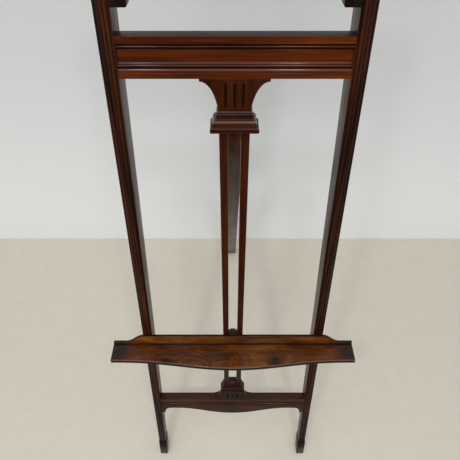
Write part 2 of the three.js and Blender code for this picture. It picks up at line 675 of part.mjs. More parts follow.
// The front edge swells from the ends to the middle in one long smooth wave.
function shelfEdge(x) {
  return -(SHELF.endDepth + SHELF.swell * (1 + Math.cos(Math.PI * x / SHELF.halfLength)) / 2);
}

function shelfBoard() {
  const { halfLength: half, round } = SHELF;
  const waves = 40;
  const outline = [[half, upstandFront - GAP - round]];
  for (let i = 0; i <= waves; i++) {
    const x = half - 2 * half * i / waves;
    outline.push([x, shelfEdge(x) + round]);
  }
  outline.push([-half, upstandFront - GAP - round]);
  const inset = outline.map(([x, y]) => [x * (half - round) / half, y]);
  const board = new THREE.ExtrudeGeometry(outlineOf(inset), {
    depth: SHELF.board - 2 * round,
    bevelThickness: round,
    bevelSize: round,
    bevelSegments: 3,
  });
  return board.translate(0, 0, boardBottom + round);
}

function upstandOutline() {
  const { endRise, rise, endFlat, ogee } = UPSTAND;
  const half = SHELF.halfLength;
  const points = [[half, boardBottom], [half, SHELF.level + endRise]];
  const steps = 12;
  for (let i = 0; i <= steps; i++) {
    const share = i / steps;
    const height = endRise + (rise - endRise) * (1 - Math.cos(Math.PI * share)) / 2;
    points.push([half - endFlat - ogee * share, SHELF.level + height]);
  }
  return mirrored(points);
}

const boardScrews = SHELF_SCREWS_AT.map((x) => [x, SHELF.back, SHELF.level - SHELF.board / 2]);
const boardHoles = boardScrews.map((at) => screwHole(at, forward));
const boltEnd = GUIDE.back + CLAMP.boltReach;
const boltHole = (radius, from, to) => rod(radius, [0, from, CLAMP.level], [0, to, CLAMP.level]);
const upstandBlank = elevation(upstandOutline(), upstandFront, SHELF.back);
add(frame, "shelf_board", cut(shelfBoard(), ...boardHoles), warmWood);
add(frame, "shelf_upstand", cut(upstandBlank, ...boardHoles), warmWood);
boardScrews.forEach((at, i) => add(frame, `shelf_screw_${i + 1}`, screw(at, forward), steel));

// ---- Guide block in the slot, and the clamp behind the splat ----
const guideBlank = block(
  [-GUIDE.halfWidth, SHELF.back + GAP, GUIDE.bottom],
  [GUIDE.halfWidth, GUIDE.back, GUIDE.top],
);
const boltWay = (from) => boltHole(CLAMP.boltRadius + GAP, from, PAST);
add(frame, "shelf_guide_block", cut(guideBlank, boltWay(CLAMP.boltFront)), darkWood);
add(frame, "clamp_bolt", boltHole(CLAMP.boltRadius, CLAMP.boltFront + GAP, boltEnd), brass);

const plateFront = SPLAT.depth + GAP;
const plateBack = plateFront + CLAMP_PLATE.thickness;
function clampPlate() {
  const { half, rise, corner } = CLAMP_PLATE;
  const right = [
    [half - corner, CLAMP.level - rise],
    [half, CLAMP.level - rise + corner],
    [half, CLAMP.level + rise - corner],
    [half - corner, CLAMP.level + rise],
  ];
  return cut(elevation(mirrored(right), plateFront, plateBack), boltWay(0));
}
add(frame, "clamp_plate", clampPlate(), darkWood);
const washerFront = plateBack + GAP;
const washerBlank = boltHole(CLAMP.washerRadius, washerFront, washerFront + CLAMP.washer);
add(frame, "clamp_washer", cut(washerBlank, boltWay(0)), brass);

// A turned knob with a scalloped rim, tapped for the bolt from its front.
function clampKnob() {
  const { radius, length } = KNOB;
  const { level, boltRadius } = CLAMP;
  const front = washerFront + CLAMP.washer + GAP;
  const profile = [
    [0, 0],
    [7.5, 0],
    [7.5, 3],
    [6, 4.5],
    [7, 5.5],
    [radius - 1, 6.5],
    [radius, 7.5],
    [radius, length - 4],
    [radius - 1, length - 3],
    [7, length - 1.8],
    [3.5, length],
    [0, length],
  ];
  const cutters = Array.from({ length: SCALLOP.count }, (_, i) => {
    const angle = 2 * Math.PI * i / SCALLOP.count;
    const [x, z] = [Math.sin(angle), Math.cos(angle)].map((part) => part * (radius + SCALLOP.offset));
    return rod(SCALLOP.radius, [x, front + SCALLOP.start, level + z], [x, front + length, level + z], 10);
  });
  const hole = boltHole(boltRadius + GAP, front - 1, boltEnd + GAP);
  return cut(turned(profile, 0, front, level), ...cutters, hole);
}
add(frame, "clamp_knob", clampKnob(), brass);

// ---- Origin: the middle of the easel's box, on the floor ----
const bounds = new THREE.Box3().setFromObject(easel, true);
const middle = bounds.getCenter(new THREE.Vector3());
easel.position.set(-middle.x, -middle.y, -bounds.min.z);

export default easel;
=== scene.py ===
# %% [markdown]
# # A mahogany display easel
# The easel has a front frame that leans back, a shelf that slides on the frame's slotted splat, and one
# rear leg that hinges behind the mid rail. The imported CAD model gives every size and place, and this lesson
# dresses it: the wood and the turned hardware are modelled again with softened edges and true mouldings,
# then polished. Tenons and spigots, which the joints hide, are left out.

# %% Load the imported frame
import json
import math

import bmesh
import bpy
from mathutils import Matrix, Vector


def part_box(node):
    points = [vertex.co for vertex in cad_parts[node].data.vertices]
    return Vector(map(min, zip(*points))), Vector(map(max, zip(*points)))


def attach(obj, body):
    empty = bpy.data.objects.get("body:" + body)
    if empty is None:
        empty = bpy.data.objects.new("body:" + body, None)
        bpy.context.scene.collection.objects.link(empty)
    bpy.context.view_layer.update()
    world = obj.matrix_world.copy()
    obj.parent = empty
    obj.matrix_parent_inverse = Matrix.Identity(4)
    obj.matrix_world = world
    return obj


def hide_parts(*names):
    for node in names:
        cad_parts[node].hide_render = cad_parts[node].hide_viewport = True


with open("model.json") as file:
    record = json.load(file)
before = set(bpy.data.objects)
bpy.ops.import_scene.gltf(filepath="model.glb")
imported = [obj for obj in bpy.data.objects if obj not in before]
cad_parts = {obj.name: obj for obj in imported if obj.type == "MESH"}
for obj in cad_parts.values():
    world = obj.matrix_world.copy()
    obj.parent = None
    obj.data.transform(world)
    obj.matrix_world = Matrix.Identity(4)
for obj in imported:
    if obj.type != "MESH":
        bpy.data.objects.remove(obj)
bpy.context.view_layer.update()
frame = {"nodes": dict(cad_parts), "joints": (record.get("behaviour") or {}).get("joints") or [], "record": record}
MM = 0.001
CLEARANCE = 0.3 * MM

# %% [markdown]
# ## Standing the frame upright on the bench
# A cabinet maker shapes the parts on a flat bench, and only then leans the easel. We do the same: X runs
# across the easel, Y runs back from the frame's front plane, and Z runs up along the frame. The slide of
# the shelf gives the lean, and the place where a picture rests on the mid rail gives the front plane. One
# matrix then leans each finished piece, so no rotation has to be worked out twice.

# %% The bench frame
slide = next(joint for joint in frame["joints"] if joint["name"] == "shelf_slide")
fold = next(joint for joint in frame["joints"] if joint["name"] == "rear_leg_fold")
mounts = {mount["name"]: Vector(mount["pos_m"]) for mount in frame["record"]["mounts"]}

along = Vector(slide["axis"])
lean = math.atan2(along.y, along.z)
rest = mounts["picture_rest"]
front_line = rest.y - rest.z * math.tan(lean)
LEAN = Matrix.Translation((0, front_line, 0)) @ Matrix.Rotation(-lean, 4, "X")
UPRIGHT = LEAN.inverted()


def span(node, bench=UPRIGHT):
    """Lowest and highest corner of a CAD node, measured on the bench."""
    points = [bench @ vertex.co for vertex in frame["nodes"][node].data.vertices]
    low = Vector(min(point[i] for point in points) for i in range(3))
    high = Vector(max(point[i] for point in points) for i in range(3))
    return low, high


print("lean:", round(math.degrees(lean), 2), "degrees; front line at y =", round(front_line, 4))

# %% [markdown]
# ## The camera
# The camera stands in front of the easel at eye height and looks steeply down, which makes the uprights
# seem to run together towards the floor. Its place is measured from the front line of the feet.

# %% Camera
CAMERA_SIDE = -0.0064
CAMERA_BACK = -0.1614
CAMERA_HEIGHT = 1.6386
CAMERA_PITCH = math.radians(58.5)

bpy.ops.object.camera_add(
    location=(CAMERA_SIDE, front_line + CAMERA_BACK, CAMERA_HEIGHT),
    rotation=(math.pi / 2 - CAMERA_PITCH, 0, 0),
)
camera = bpy.context.object
camera.name = "camera"
camera.data.sensor_width = 36
camera.data.lens = 36
camera.data.clip_start = 0.01
bpy.context.scene.camera = camera
print("camera at", [round(value, 3) for value in camera.location])

# %% [markdown]
# ## Bench tools
# Every wooden piece goes through the same few steps, so each step is a small function: start from a
# primitive or draw an outline, pull it to its length, pick edges by their place, round them, and lay the
# finished piece into the easel. Operators act on all that is selected, so the first thing each function
# does is clear the selection.

# %% Selecting and editing
def activate(piece):
    bpy.ops.object.select_all(action="DESELECT")
    bpy.context.view_layer.objects.active = piece
    piece.select_set(True)


def open_piece(piece):
    if bpy.context.object and bpy.context.object.mode == "EDIT":
        bpy.ops.object.mode_set(mode="OBJECT")
    activate(piece)
    bpy.ops.object.mode_set(mode="EDIT")


def close_piece():
    bpy.ops.mesh.select_all(action="SELECT")
    bpy.ops.mesh.remove_doubles(threshold=1e-6)
    bpy.ops.mesh.normals_make_consistent(inside=False)
    bpy.ops.object.mode_set(mode="OBJECT")


def pick(piece, rule, kind="VERT"):
    """Selects the vertices, edges or faces whose corners all pass the rule."""
    bpy.ops.mesh.select_mode(type=kind)
    bpy.ops.mesh.select_all(action="DESELECT")
    shape = bmesh.from_edit_mesh(piece.data)
    items = {"VERT": shape.verts, "EDGE": shape.edges, "FACE": shape.faces}[kind]
    for item in items:
        corners = [item] if kind == "VERT" else item.verts
        if all(rule(corner.co) for corner in corners):
            item.select_set(True)
    bmesh.update_edit_mesh(piece.data)


# %% Starting a piece
def block(name, low, high):
    """A box between two corners, given on the bench."""
    bpy.ops.object.select_all(action="DESELECT")
    bpy.ops.mesh.primitive_cube_add(size=1, location=(low + high) / 2, scale=high - low)
    piece = bpy.context.object
    piece.name = name
    bpy.ops.object.transform_apply(location=True, rotation=True, scale=True)
    return piece


def trace(name, points):
    """Draws a line vertex by vertex, and leaves it open for editing with all of it selected."""
    bpy.ops.object.select_all(action="DESELECT")
    bpy.ops.mesh.primitive_plane_add(size=1)
    piece = bpy.context.object
    piece.name = name
    bpy.ops.object.mode_set(mode="EDIT")
    bpy.ops.mesh.select_mode(type="VERT")
    bpy.ops.mesh.select_all(action="SELECT")
    bpy.ops.mesh.merge(type="CENTER")
    bpy.ops.transform.translate(value=points[0])
    for here, there in zip(points, points[1:]):
        bpy.ops.mesh.extrude_region_move(TRANSFORM_OT_translate={"value": there - here})
    bpy.ops.mesh.select_all(action="SELECT")
    return piece


def draw(name, points, pull):
    """Fills a closed outline and pulls the face along a vector."""
    piece = trace(name, points)
    bpy.ops.mesh.edge_face_add()
    bpy.ops.mesh.extrude_region_move(TRANSFORM_OT_translate={"value": pull})
    close_piece()
    return piece


# %% Finishing a piece
def apply_modifier(piece, kind, **settings):
    activate(piece)
    modifier = piece.modifiers.new(kind.lower(), kind)
    for key, value in settings.items():
        setattr(modifier, key, value)
    bpy.ops.object.modifier_apply(modifier=modifier.name)


def soften(piece, width, segments=3, angle=40):
    """Rounds the arrises that sandpaper and polish would have rounded, and marks them to be rubbed lighter: wear,
    and also a painted highlight.
    """
    while len(piece.data.materials) < 2:
        piece.data.materials.append(None)
    apply_modifier(
        piece,
        "BEVEL",
        width=width,
        segments=segments,
        limit_method="ANGLE",
        angle_limit=math.radians(angle),
        material=1,
    )
    worn = piece.data.attributes.get("arris") or piece.data.attributes.new("arris", "FLOAT", "CORNER")
    for face in piece.data.polygons:
        if face.material_index == 1:
            face.material_index = 0
            for corner in face.loop_indices:
                worn.data[corner].value = 1.0


def carve(piece, tool, operation="DIFFERENCE"):
    """Cuts a piece with another one, which is used up."""
    apply_modifier(piece, "BOOLEAN", operation=operation, object=tool, solver="EXACT")
    bpy.data.objects.remove(tool)


def mark_dark_grooves(piece, rule):
    """Marks the grooves, which get painted shade along with some gathered old polish. The rule gives 0 to 1 for a
    place on the bench.
    """
    groove_shade_and_polish = piece.data.attributes.new("groove_shade_and_polish", "FLOAT", "CORNER")
    for loop in piece.data.loops:
        groove_shade_and_polish.data[loop.index].value = rule(piece.data.vertices[loop.vertex_index].co)


def rising(value, low, high):
    """0 at low, 1 at high, and a straight line between."""
    return max(0.0, min(1.0, (value - low) / (high - low)))


def mark_shaded_tops(piece):
    """Marks the faces that look up along the frame, which are darkened with painted shade."""
    upward = LEAN.to_3x3() @ Vector((0, 0, 1))
    top_shade = piece.data.attributes.new("shaded_top", "FLOAT", "CORNER")
    for face in piece.data.polygons:
        share = rising(face.normal.dot(upward), 0.8, 0.95)
        for corner in face.loop_indices:
            top_shade.data[corner].value = share


def install(piece, body, slot, *nodes, bench=LEAN, smooth=35):
    """Leans a finished piece into the easel, fixes it to its body and hides the CAD nodes it stands for."""
    activate(piece)
    piece.matrix_world = bench
    bpy.ops.object.transform_apply(location=True, rotation=True, scale=True)
    bpy.ops.object.shade_smooth_by_angle(angle=math.radians(smooth))
    mark_shaded_tops(piece)
    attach(piece, body)
    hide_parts(*nodes)
    print(piece.name, len(piece.data.polygons), "faces")
    return piece


# %% [markdown]
# ## Curves for mouldings
# A moulding is a section carried along a rail. Its rounds and hollows are quarter ellipses, and a bead is
# half a circle. Real arrises are never knife sharp, so `ease` swaps each sharp corner of a section for a
# tiny arc. That is kinder than a bevel over the whole rail, which would stop at the narrowest groove.

# %% Section helpers
def quarter(start, end, hollow, steps=8):
    """Points of a quarter ellipse: a round leaves the start upright, a hollow leaves it level."""
    points = []
    for i in range(steps + 1):
        angle = math.pi / 2 * i / steps
        away, rise = 1 - math.cos(angle), math.sin(angle)
        if hollow:
            away, rise = math.sin(angle), 1 - math.cos(angle)
        points.append((start[0] + (end[0] - start[0]) * away, start[1] + (end[1] - start[1]) * rise))
    return points


def bead(low, high, depth, bulge, steps=12):
    """Points of a half-round bead from height low to high that stands forward from a depth."""
    middle, half = (low + high) / 2, (high - low) / 2
    angles = [math.pi * i / steps for i in range(steps + 1)]
    return [(depth - bulge * math.sin(a), middle - half * math.cos(a)) for a in angles]


def ease(points, radius, steps=3, limit=math.radians(32)):
    """Rounds each corner of a closed outline that turns more than the limit."""
    corners = [Vector(point) for point in points]
    eased = []
    for i, corner in enumerate(corners):
        before, after = corners[i - 1] - corner, corners[(i + 1) % len(corners)] - corner
        turn = math.pi - before.angle(after, math.pi)
        if turn < limit:
            eased.append(corner)
            continue
        reach = min(radius, 0.4 * before.length, 0.4 * after.length)
        start, end = corner + before.normalized() * reach, corner + after.normalized() * reach
        for step in range(steps + 1):
            share = step / steps
            first, second = start.lerp(corner, share), corner.lerp(end, share)
            eased.append(first.lerp(second, share))
    return eased


def section(points, radius=0.4):
    """A (depth, height) section in millimetres as points on the bench, at x = 0."""
    return [Vector((0, y * MM, z * MM)) for y, z in ease(points, radius)]


# %% [markdown]
# ## The reeded uprights
# Each upright is one long bar, deeper at the top than at the floor, that splays outwards towards the feet.
# Its front carries three reeds between two flat margins. The reeds could be drawn as bump in the material,
# but they catch the light along their whole length, so they are real geometry: the section is drawn once,
# pulled up to the full length, and the top end is then moved and deepened.

# %% Lines of an upright, measured from the CAD
def edge_line(node, side, height, tolerance=0.004):
    """Outer and inner edge and depth of an upright near a height, as distances from the middle."""
    points = [UPRIGHT @ vertex.co for vertex in frame["nodes"][node].data.vertices]
    near = [point for point in points if abs(point.z - height) < tolerance]
    return max(p.x * side for p in near), min(p.x * side for p in near), max(p.y for p in near)


upright_low, upright_high = span("left_foot")[1].z, span("left_upright")[1].z
lower_line = edge_line("right_upright", 1, upright_low + 0.0003)
upper_line = edge_line("right_upright", 1, upright_high)


def between(height, which):
    share = (height - upright_low) / (upright_high - upright_low)
    return lower_line[which] + (upper_line[which] - lower_line[which]) * share


def inner_edge(height):
    return between(height, 1)


print("upright, from outer to inner edge:", [round(value / MM, 1) for value in lower_line + upper_line])

# %% Model the uprights
REEDS = 3
REED_WIDTH = 4.4
REED_DEPTH = 1.3


def reeded_section(width, depth):
    """The section of an upright from above: X across and Y back, in millimetres."""
    half = width / 2
    start = -REEDS * REED_WIDTH / 2
    points = [(-half, REED_DEPTH * 0.9), (start - 0.5, REED_DEPTH * 0.9)]
    for reed in range(REEDS):
        middle = start + (reed + 0.5) * REED_WIDTH
        for i in range(9):
            angle = 1.4 * (i / 4 - 1)
            points.append((middle + 0.48 * REED_WIDTH * math.sin(angle), REED_DEPTH * (1 - math.cos(angle))))
    points += [(-start + 0.5, REED_DEPTH * 0.9), (half, REED_DEPTH * 0.9), (half, depth), (-half, depth)]
    return points


def model_upright(side, word):
    width, depth = (lower_line[0] - lower_line[1]) / MM, lower_line[2] / MM
    middle = side * (lower_line[0] + lower_line[1]) / 2
    outline = ease(reeded_section(width, depth), 0.7, steps=3, limit=math.radians(50))
    points = [Vector((middle + x * MM, y * MM, upright_low)) for x, y in outline]
    piece = draw(f"{word}_upright_wood", points, Vector((0, 0, upright_high - upright_low)))
    reeded = (REEDS * REED_WIDTH / 2 + 0.6) * MM

    def between_reeds(co):
        on_the_face = abs(co.x - middle) < reeded and co.y < 2 * MM
        return rising(co.y, 0.3 * MM, 1.1 * MM) if on_the_face else 0.0

    mark_dark_grooves(piece, between_reeds)
    open_piece(piece)
    pick(piece, lambda co: co.z > upright_high - MM)
    growth = (upper_line[0] - upper_line[1]) / (lower_line[0] - lower_line[1])
    bpy.ops.transform.resize(value=(growth, 1, 1), center_override=(middle, 0, 0))
    inward = side * (upper_line[0] + upper_line[1]) / 2 - middle
    bpy.ops.transform.translate(value=(inward, 0, 0))
    pick(piece, lambda co: co.z > upright_high - MM and co.y > 3 * MM)
    bpy.ops.transform.translate(value=(0, upper_line[2] - lower_line[2], 0))
    close_piece()
    return install(piece, "front_frame", "dark_mahogany", f"{word}_upright")


SIDES = (("left", -1), ("right", 1))
for word, side in SIDES:
    model_upright(side, word)

# %% [markdown]
# ## Feet
# A foot is a cuff a little wider than the upright, with a small chamfer at its top and a sole that lies
# level on the floor. It starts as a box on the bench. Its top is inset and lifted, its sides follow the
# splay, and one bisect along the floor gives the level sole.

# %% Model the feet
CUFF_PROUD = 1.4 * MM
BELOW_FLOOR = 0.02


def model_foot(side, word):
    low, high = span(f"{word}_foot")
    proud = between(upright_low, 0) + CUFF_PROUD
    neck = high.z - 4 * MM
    width = 2 * CUFF_PROUD + lower_line[0] - lower_line[1]
    middle = side * (proud - width / 2)
    piece = block(
        f"{word}_foot_cuff",
        Vector((middle - width / 2, low.y, -BELOW_FLOOR)),
        Vector((middle + width / 2, lower_line[2] + CUFF_PROUD, neck)),
    )
    open_piece(piece)
    pick(piece, lambda co: co.z < 0)
    splay = (lower_line[0] - upper_line[0]) / (upright_high - upright_low)
    bpy.ops.transform.translate(value=(side * splay * (neck + BELOW_FLOOR), 0, 0))
    bpy.ops.transform.resize(value=(1, 0.955, 1), center_override=(0, low.y, 0))
    pick(piece, lambda co: co.z > neck - MM, "FACE")
    bpy.ops.mesh.inset(thickness=1.3 * MM, use_even_offset=True)
    bpy.ops.transform.translate(value=(0, 0, high.z - neck))
    bpy.ops.mesh.select_all(action="SELECT")
    sole = UPRIGHT @ Vector((0, 0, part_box(f"{word}_foot")[0].z))
    down = UPRIGHT.to_3x3() @ Vector((0, 0, -1))
    bpy.ops.mesh.bisect(plane_co=sole, plane_no=down, use_fill=True, clear_outer=True)
    close_piece()
    soften(piece, 0.5 * MM)
    return install(piece, "front_frame", "dark_mahogany", f"{word}_foot")


for word, side in SIDES:
    model_foot(side, word)

# %% [markdown]
# ## Moulded rails
# The mid rail and the crest rail share one moulding. From the bottom up it has a flat band, a thumb, a
# bead, a hollow, a sunk panel, a second bead under a quirk, and a flat fascia. The section is drawn once in
# millimetres, pulled across the easel, and each end is moved onto the slanting inner face of its upright.

# %% The rail moulding
RAIL_DEPTH = span("crest_rail")[1].y / MM


def rail_moulding(bottom, top):
    """The front of a rail, from its bottom to its top, as (depth, height) in millimetres."""
    return [
        (0, bottom),
        (0, bottom + 7.6),
        *quarter((0.5, bottom + 7.7), (3.4, bottom + 13.1), False),
        (4.6, bottom + 13.2),
        (4.6, bottom + 14.7),
        *bead(bottom + 14.8, bottom + 18.2, 4.4, 1.8),
        *quarter((3.4, bottom + 18.8), (5.4, bottom + 22), True),
        (5.4, top - 18.8),
        (6, top - 18.6),
        (6, top - 15.8),
        *bead(top - 15.6, top - 12.8, 5, 1.8),
        (5.6, top - 12.4),
        (5.6, top - 9.6),
        (0, top - 9.2),
        (0, top),
    ]


def fit_ends(piece, clearance=CLEARANCE):
    """Moves the two ends of a rail onto the inner faces of the uprights."""
    open_piece(piece)
    heights = sorted({round(vertex.co.z, 6) for vertex in bmesh.from_edit_mesh(piece.data).verts})
    for side in (-1, 1):
        for height in heights:
            pick(piece, lambda co: co.x * side > 0 and abs(co.z - height) < 1e-6)
            first = next(v for v in bmesh.from_edit_mesh(piece.data).verts if v.select)
            bpy.ops.transform.translate(value=(side * (inner_edge(height) - clearance) - first.co.x, 0, 0))
    close_piece()


def in_quirk(co, bottom, top):
    """The narrow grooves on each side of the beads."""
    depth, above, below = co.y / MM, co.z / MM - bottom, top - co.z / MM
    low_groove = 12.9 < above < 15 and 4.3 < depth < 7
    high_groove = 9 < below < 19.5 and 5.5 < depth < 7
    return 1.0 if low_groove or high_groove else 0.0


def rail_between(name, points):
    reach = 0.1
    piece = draw(name, [point - Vector((reach, 0, 0)) for point in points], Vector((2 * reach, 0, 0)))
    fit_ends(piece)
    return piece


def model_rail(node, slot):
    low, high = span(node)
    bottom, top = low.z / MM, high.z / MM
    points = section([(RAIL_DEPTH, bottom), *rail_moulding(bottom, top), (RAIL_DEPTH, top)])
    piece = rail_between(f"{node}_wood", points)
    mark_dark_grooves(piece, lambda co: in_quirk(co, bottom, top))
    return install(piece, "front_frame", slot, node)


model_rail("mid_rail", "red_mahogany")
model_rail("crest_rail", "red_mahogany")

# %% [markdown]
# ## Mitred blocks: the collars and the cornice
# A collar is a moulding that runs round the front and both sides of the splat and meets in mitres. Sweeping
# a section round a path would do it. It is quicker to stack it: start from the lowest rectangle, then
# extrude upwards and scale each new ring about the middle of the flat back, so that the front and the sides
# grow together.

# %% Stack rings into a mitred moulding
def mitred_block(name, profile, half, back):
    """profile is a list of (height, proud) in millimetres, and half the core's half width on the bench."""
    first = profile[0]
    low = Vector((-half - first[1] * MM, -first[1] * MM, first[0] * MM))
    high = Vector((half + first[1] * MM, back, profile[1][0] * MM))
    piece = block(name, low, high)
    open_piece(piece)
    width, depth = high.x, back - low.y
    for index, (height, proud) in enumerate(profile[1:]):
        if index:
            pick(piece, lambda co: co.z > last * MM - 1e-6, "FACE")
            step = (height - last) * MM
            bpy.ops.mesh.extrude_region_move(TRANSFORM_OT_translate={"value": (0, 0, step)})
        else:
            pick(piece, lambda co: co.z > height * MM - 1e-6, "FACE")
        new_width, new_depth = half + proud * MM, back + proud * MM
        grow = (new_width / width, new_depth / depth, 1)
        bpy.ops.transform.resize(value=grow, center_override=(0, back, height * MM))
        width, depth, last = new_width, new_depth, height
    close_piece()
    return piece


def as_rings(points):
    """Turns eased (proud, height) points into (height, proud) rings that always rise a little."""
    rings, last = [], None
    for proud, height in points:
        height = height if last is None else max(height, last + 0.02)
        rings.append((height, proud))
        last = height
    return rings


def soft_rings(points, radius=0.5):
    """Eases the corners of an open profile, given from the bottom up as (proud, height)."""
    low, high = (points[0][0] - 5, points[0][1]), (points[-1][0] - 5, points[-1][1])
    eased = ease([low, *points, high], radius)
    return as_rings([(p.x, p.y) for p in eased if p.x > min(low[0], high[0]) + 4])


# %% Model the collars and the cornice
def collar_profile(low, high, wide, narrow):
    bulge = [(2 * (wide - 1.2) - y, z) for y, z in bead(low + 3, low + 11, wide - 1.2, 1.2, 10)]
    return [
        (2, low),
        (2, low + 2.6),
        (wide - 1.2, low + 2.9),
        *bulge,
        (wide - 3, low + 11.6),
        *quarter((wide - 3, low + 12), (narrow + 0.8, high - 12), False),
        (narrow, high - 11.6),
        (narrow, high - 4),
        *quarter((narrow - 0.6, high - 3.6), (0.6, high), False, 5),
    ]


def model_collar(node, wide, narrow, slot):
    low, high = span(node)
    half = high.x - wide * MM
    rings = soft_rings(collar_profile(low.z / MM, high.z / MM, wide, narrow))
    return install(mitred_block(f"{node}_wood", rings, half, high.y), "front_frame", slot, node)


def cornice_profile(base, top, overhang):
    lip = [(2 * (overhang - 2.5) - y, z) for y, z in bead(base + 13, top - 5, overhang - 2.5, 2.5, 10)]
    return [
        (0.5, base),
        (0.5, base + 3),
        *quarter((1.5, base + 3.5), (overhang - 4, base + 12), True, 10),
        (overhang - 3, base + 12.5),
        *lip,
        (overhang - 5, top - 5),
        (overhang - 5, top - 0.8),
        (overhang - 6, top),
    ]


model_collar("upper_collar", 12.5, 3.4, "red_mahogany")
model_collar("lower_collar", 9.5, 3.2, "dark_mahogany")
low, high = span("cornice")
overhang = -low.y / MM
rings = soft_rings(cornice_profile(low.z / MM, high.z / MM, overhang))
cornice = mitred_block("cornice_wood", rings, high.x - overhang * MM, high.y)
install(cornice, "front_frame", "red_mahogany", "cornice")

# %% [markdown]
# ## Fluted capital and base
# Under the mid rail the splat spreads into a capital with hollow sides and three flutes, and the same shape
# stands upside down on the stretcher. The outline is drawn from the front and pulled back to its thickness.
# The flutes are cut with rods that have round ends, as a core-box cutter leaves them.

# %% Model a fluted bracket
FLUTE_RADIUS = 2.1 * MM
FLUTE_PITCH = 12 * MM


def bezier(start, first, second, end, steps):
    points = []
    for i in range(steps + 1):
        t = i / steps
        weights = ((1 - t) ** 3, 3 * t * (1 - t) ** 2, 3 * t * t * (1 - t), t ** 3)
        corners = (start, first, second, end)
        points.append(tuple(sum(w * c[axis] for w, c in zip(weights, corners)) for axis in (0, 1)))
    return points


def flute_cutter(x, y, low, high):
    bpy.ops.object.select_all(action="DESELECT")
    length = high - low - 2 * FLUTE_RADIUS
    place = (x, y, (low + high) / 2)
    bpy.ops.mesh.primitive_uv_sphere_add(segments=24, ring_count=16, radius=FLUTE_RADIUS, location=place)
    cutter = bpy.context.object
    bpy.ops.object.transform_apply(location=True)
    open_piece(cutter)
    pick(cutter, lambda co: co.z > place[2] + 1e-6)
    bpy.ops.transform.translate(value=(0, 0, length / 2))
    pick(cutter, lambda co: co.z < place[2] - 1e-6)
    bpy.ops.transform.translate(value=(0, 0, -length / 2))
    close_piece()
    return cutter


def model_bracket(node, wide_end, narrow_end, slot):
    low, high = span(node)
    half, neck, lip = high.x, 23 * MM, 4 * MM
    up = math.copysign(1, wide_end - narrow_end)
    lip_edge = wide_end - up * lip
    hollow = [(half, lip_edge), (neck + 13 * MM, lip_edge), (neck + 4 * MM, lip_edge - up * 16 * MM)]
    side = bezier(*hollow, (neck, narrow_end), 20)
    right = [(half, wide_end), *side]
    outline = right + [(-x, z) for x, z in reversed(right)]
    points = [Vector((x, high.y, z)) for x, z in outline]
    piece = draw(f"{node}_wood", points, Vector((0, low.y - high.y, 0)))
    soften(piece, 0.45 * MM, angle=50)
    start, end = sorted((wide_end - up * 6 * MM, narrow_end + up * 2 * MM))
    for index in (-1, 0, 1):
        carve(piece, flute_cutter(index * FLUTE_PITCH, low.y, start, end))
    reach = 1.5 * FLUTE_PITCH

    def in_flute(co):
        on_the_face = abs(co.x) < reach and co.y < low.y + 3 * MM
        return rising(co.y - low.y, 0.2 * MM, 1.4 * MM) if on_the_face else 0.0

    mark_dark_grooves(piece, in_flute)
    return install(piece, "front_frame", slot, node)


low, high = span("capital")
model_bracket("capital", high.z, low.z, "red_mahogany")
low, high = span("fluted_base")
model_bracket("fluted_base", low.z, high.z, "red_mahogany")

# %% [markdown]
# ## Stretcher
# The stretcher ties the uprights near the floor. Its top half is moulded like the rails, and its lower edge
# is sawn to a shape: a small drop beside each upright, a flat, and a long bow in the middle. Two solids are
# made, one from the side and one from the front, and only what both hold is kept.

# %% Model the stretcher
low, high = span("stretcher")
TOP, EDGE, BOW, DROP = high.z, high.z - 50 * MM, low.z, low.z + 4 * MM


def stretcher_moulding(bottom, top):
    return [
        (0, bottom),
        (0, top - 33),
        *quarter((0.3, top - 32.8), (3.2, top - 28.6), False),
        (4.4, top - 28.4),
        (4.4, top - 25.4),
        *bead(top - 25.2, top - 18, 4.4, 3.4),
        (5, top - 17.8),
        (5, top - 13.4),
        (0, top - 13),
        (0, top),
    ]


def apron_outline():
    inner = inner_edge(DROP) - 10.3 * MM
    bow_start = inner - 33 * MM
    drop = bezier((inner, DROP), (inner, EDGE - 6 * MM), (inner - 8 * MM, EDGE), (inner - 21 * MM, EDGE), 10)
    wave = bezier((bow_start, EDGE), (bow_start * 0.6, EDGE), (bow_start * 0.42, BOW), (0, BOW), 24)
    right = [(inner_edge(TOP) - CLEARANCE, TOP), (inner_edge(DROP) - CLEARANCE, DROP), *drop, *wave]
    return right + [(-x, z) for x, z in reversed(right[:-1])]


def in_stretcher_groove(co):
    return 1.0 if 4.3 * MM < co.y < 7 * MM and co.z < TOP - 13 * MM else 0.0


depth = RAIL_DEPTH - 0.5
moulding = stretcher_moulding(BOW / MM - 6, TOP / MM)
points = section([(depth, BOW / MM - 6), *moulding, (depth, TOP / MM)])
stretcher = draw("stretcher_wood", [point - Vector((0.25, 0, 0)) for point in points], Vector((0.5, 0, 0)))
apron = draw("apron", [Vector((x, 0.03, z)) for x, z in apron_outline()], Vector((0, -0.04, 0)))
carve(stretcher, apron, "INTERSECT")
mark_dark_grooves(stretcher, in_stretcher_groove)
install(stretcher, "front_frame", "red_mahogany", "stretcher")

# %% [markdown]
# ## Brackets under the crest rail
# Two small blocks fill the corners between the uprights and the crest rail. Each has a rounded lower corner
# and a hollow that leads into the rail.

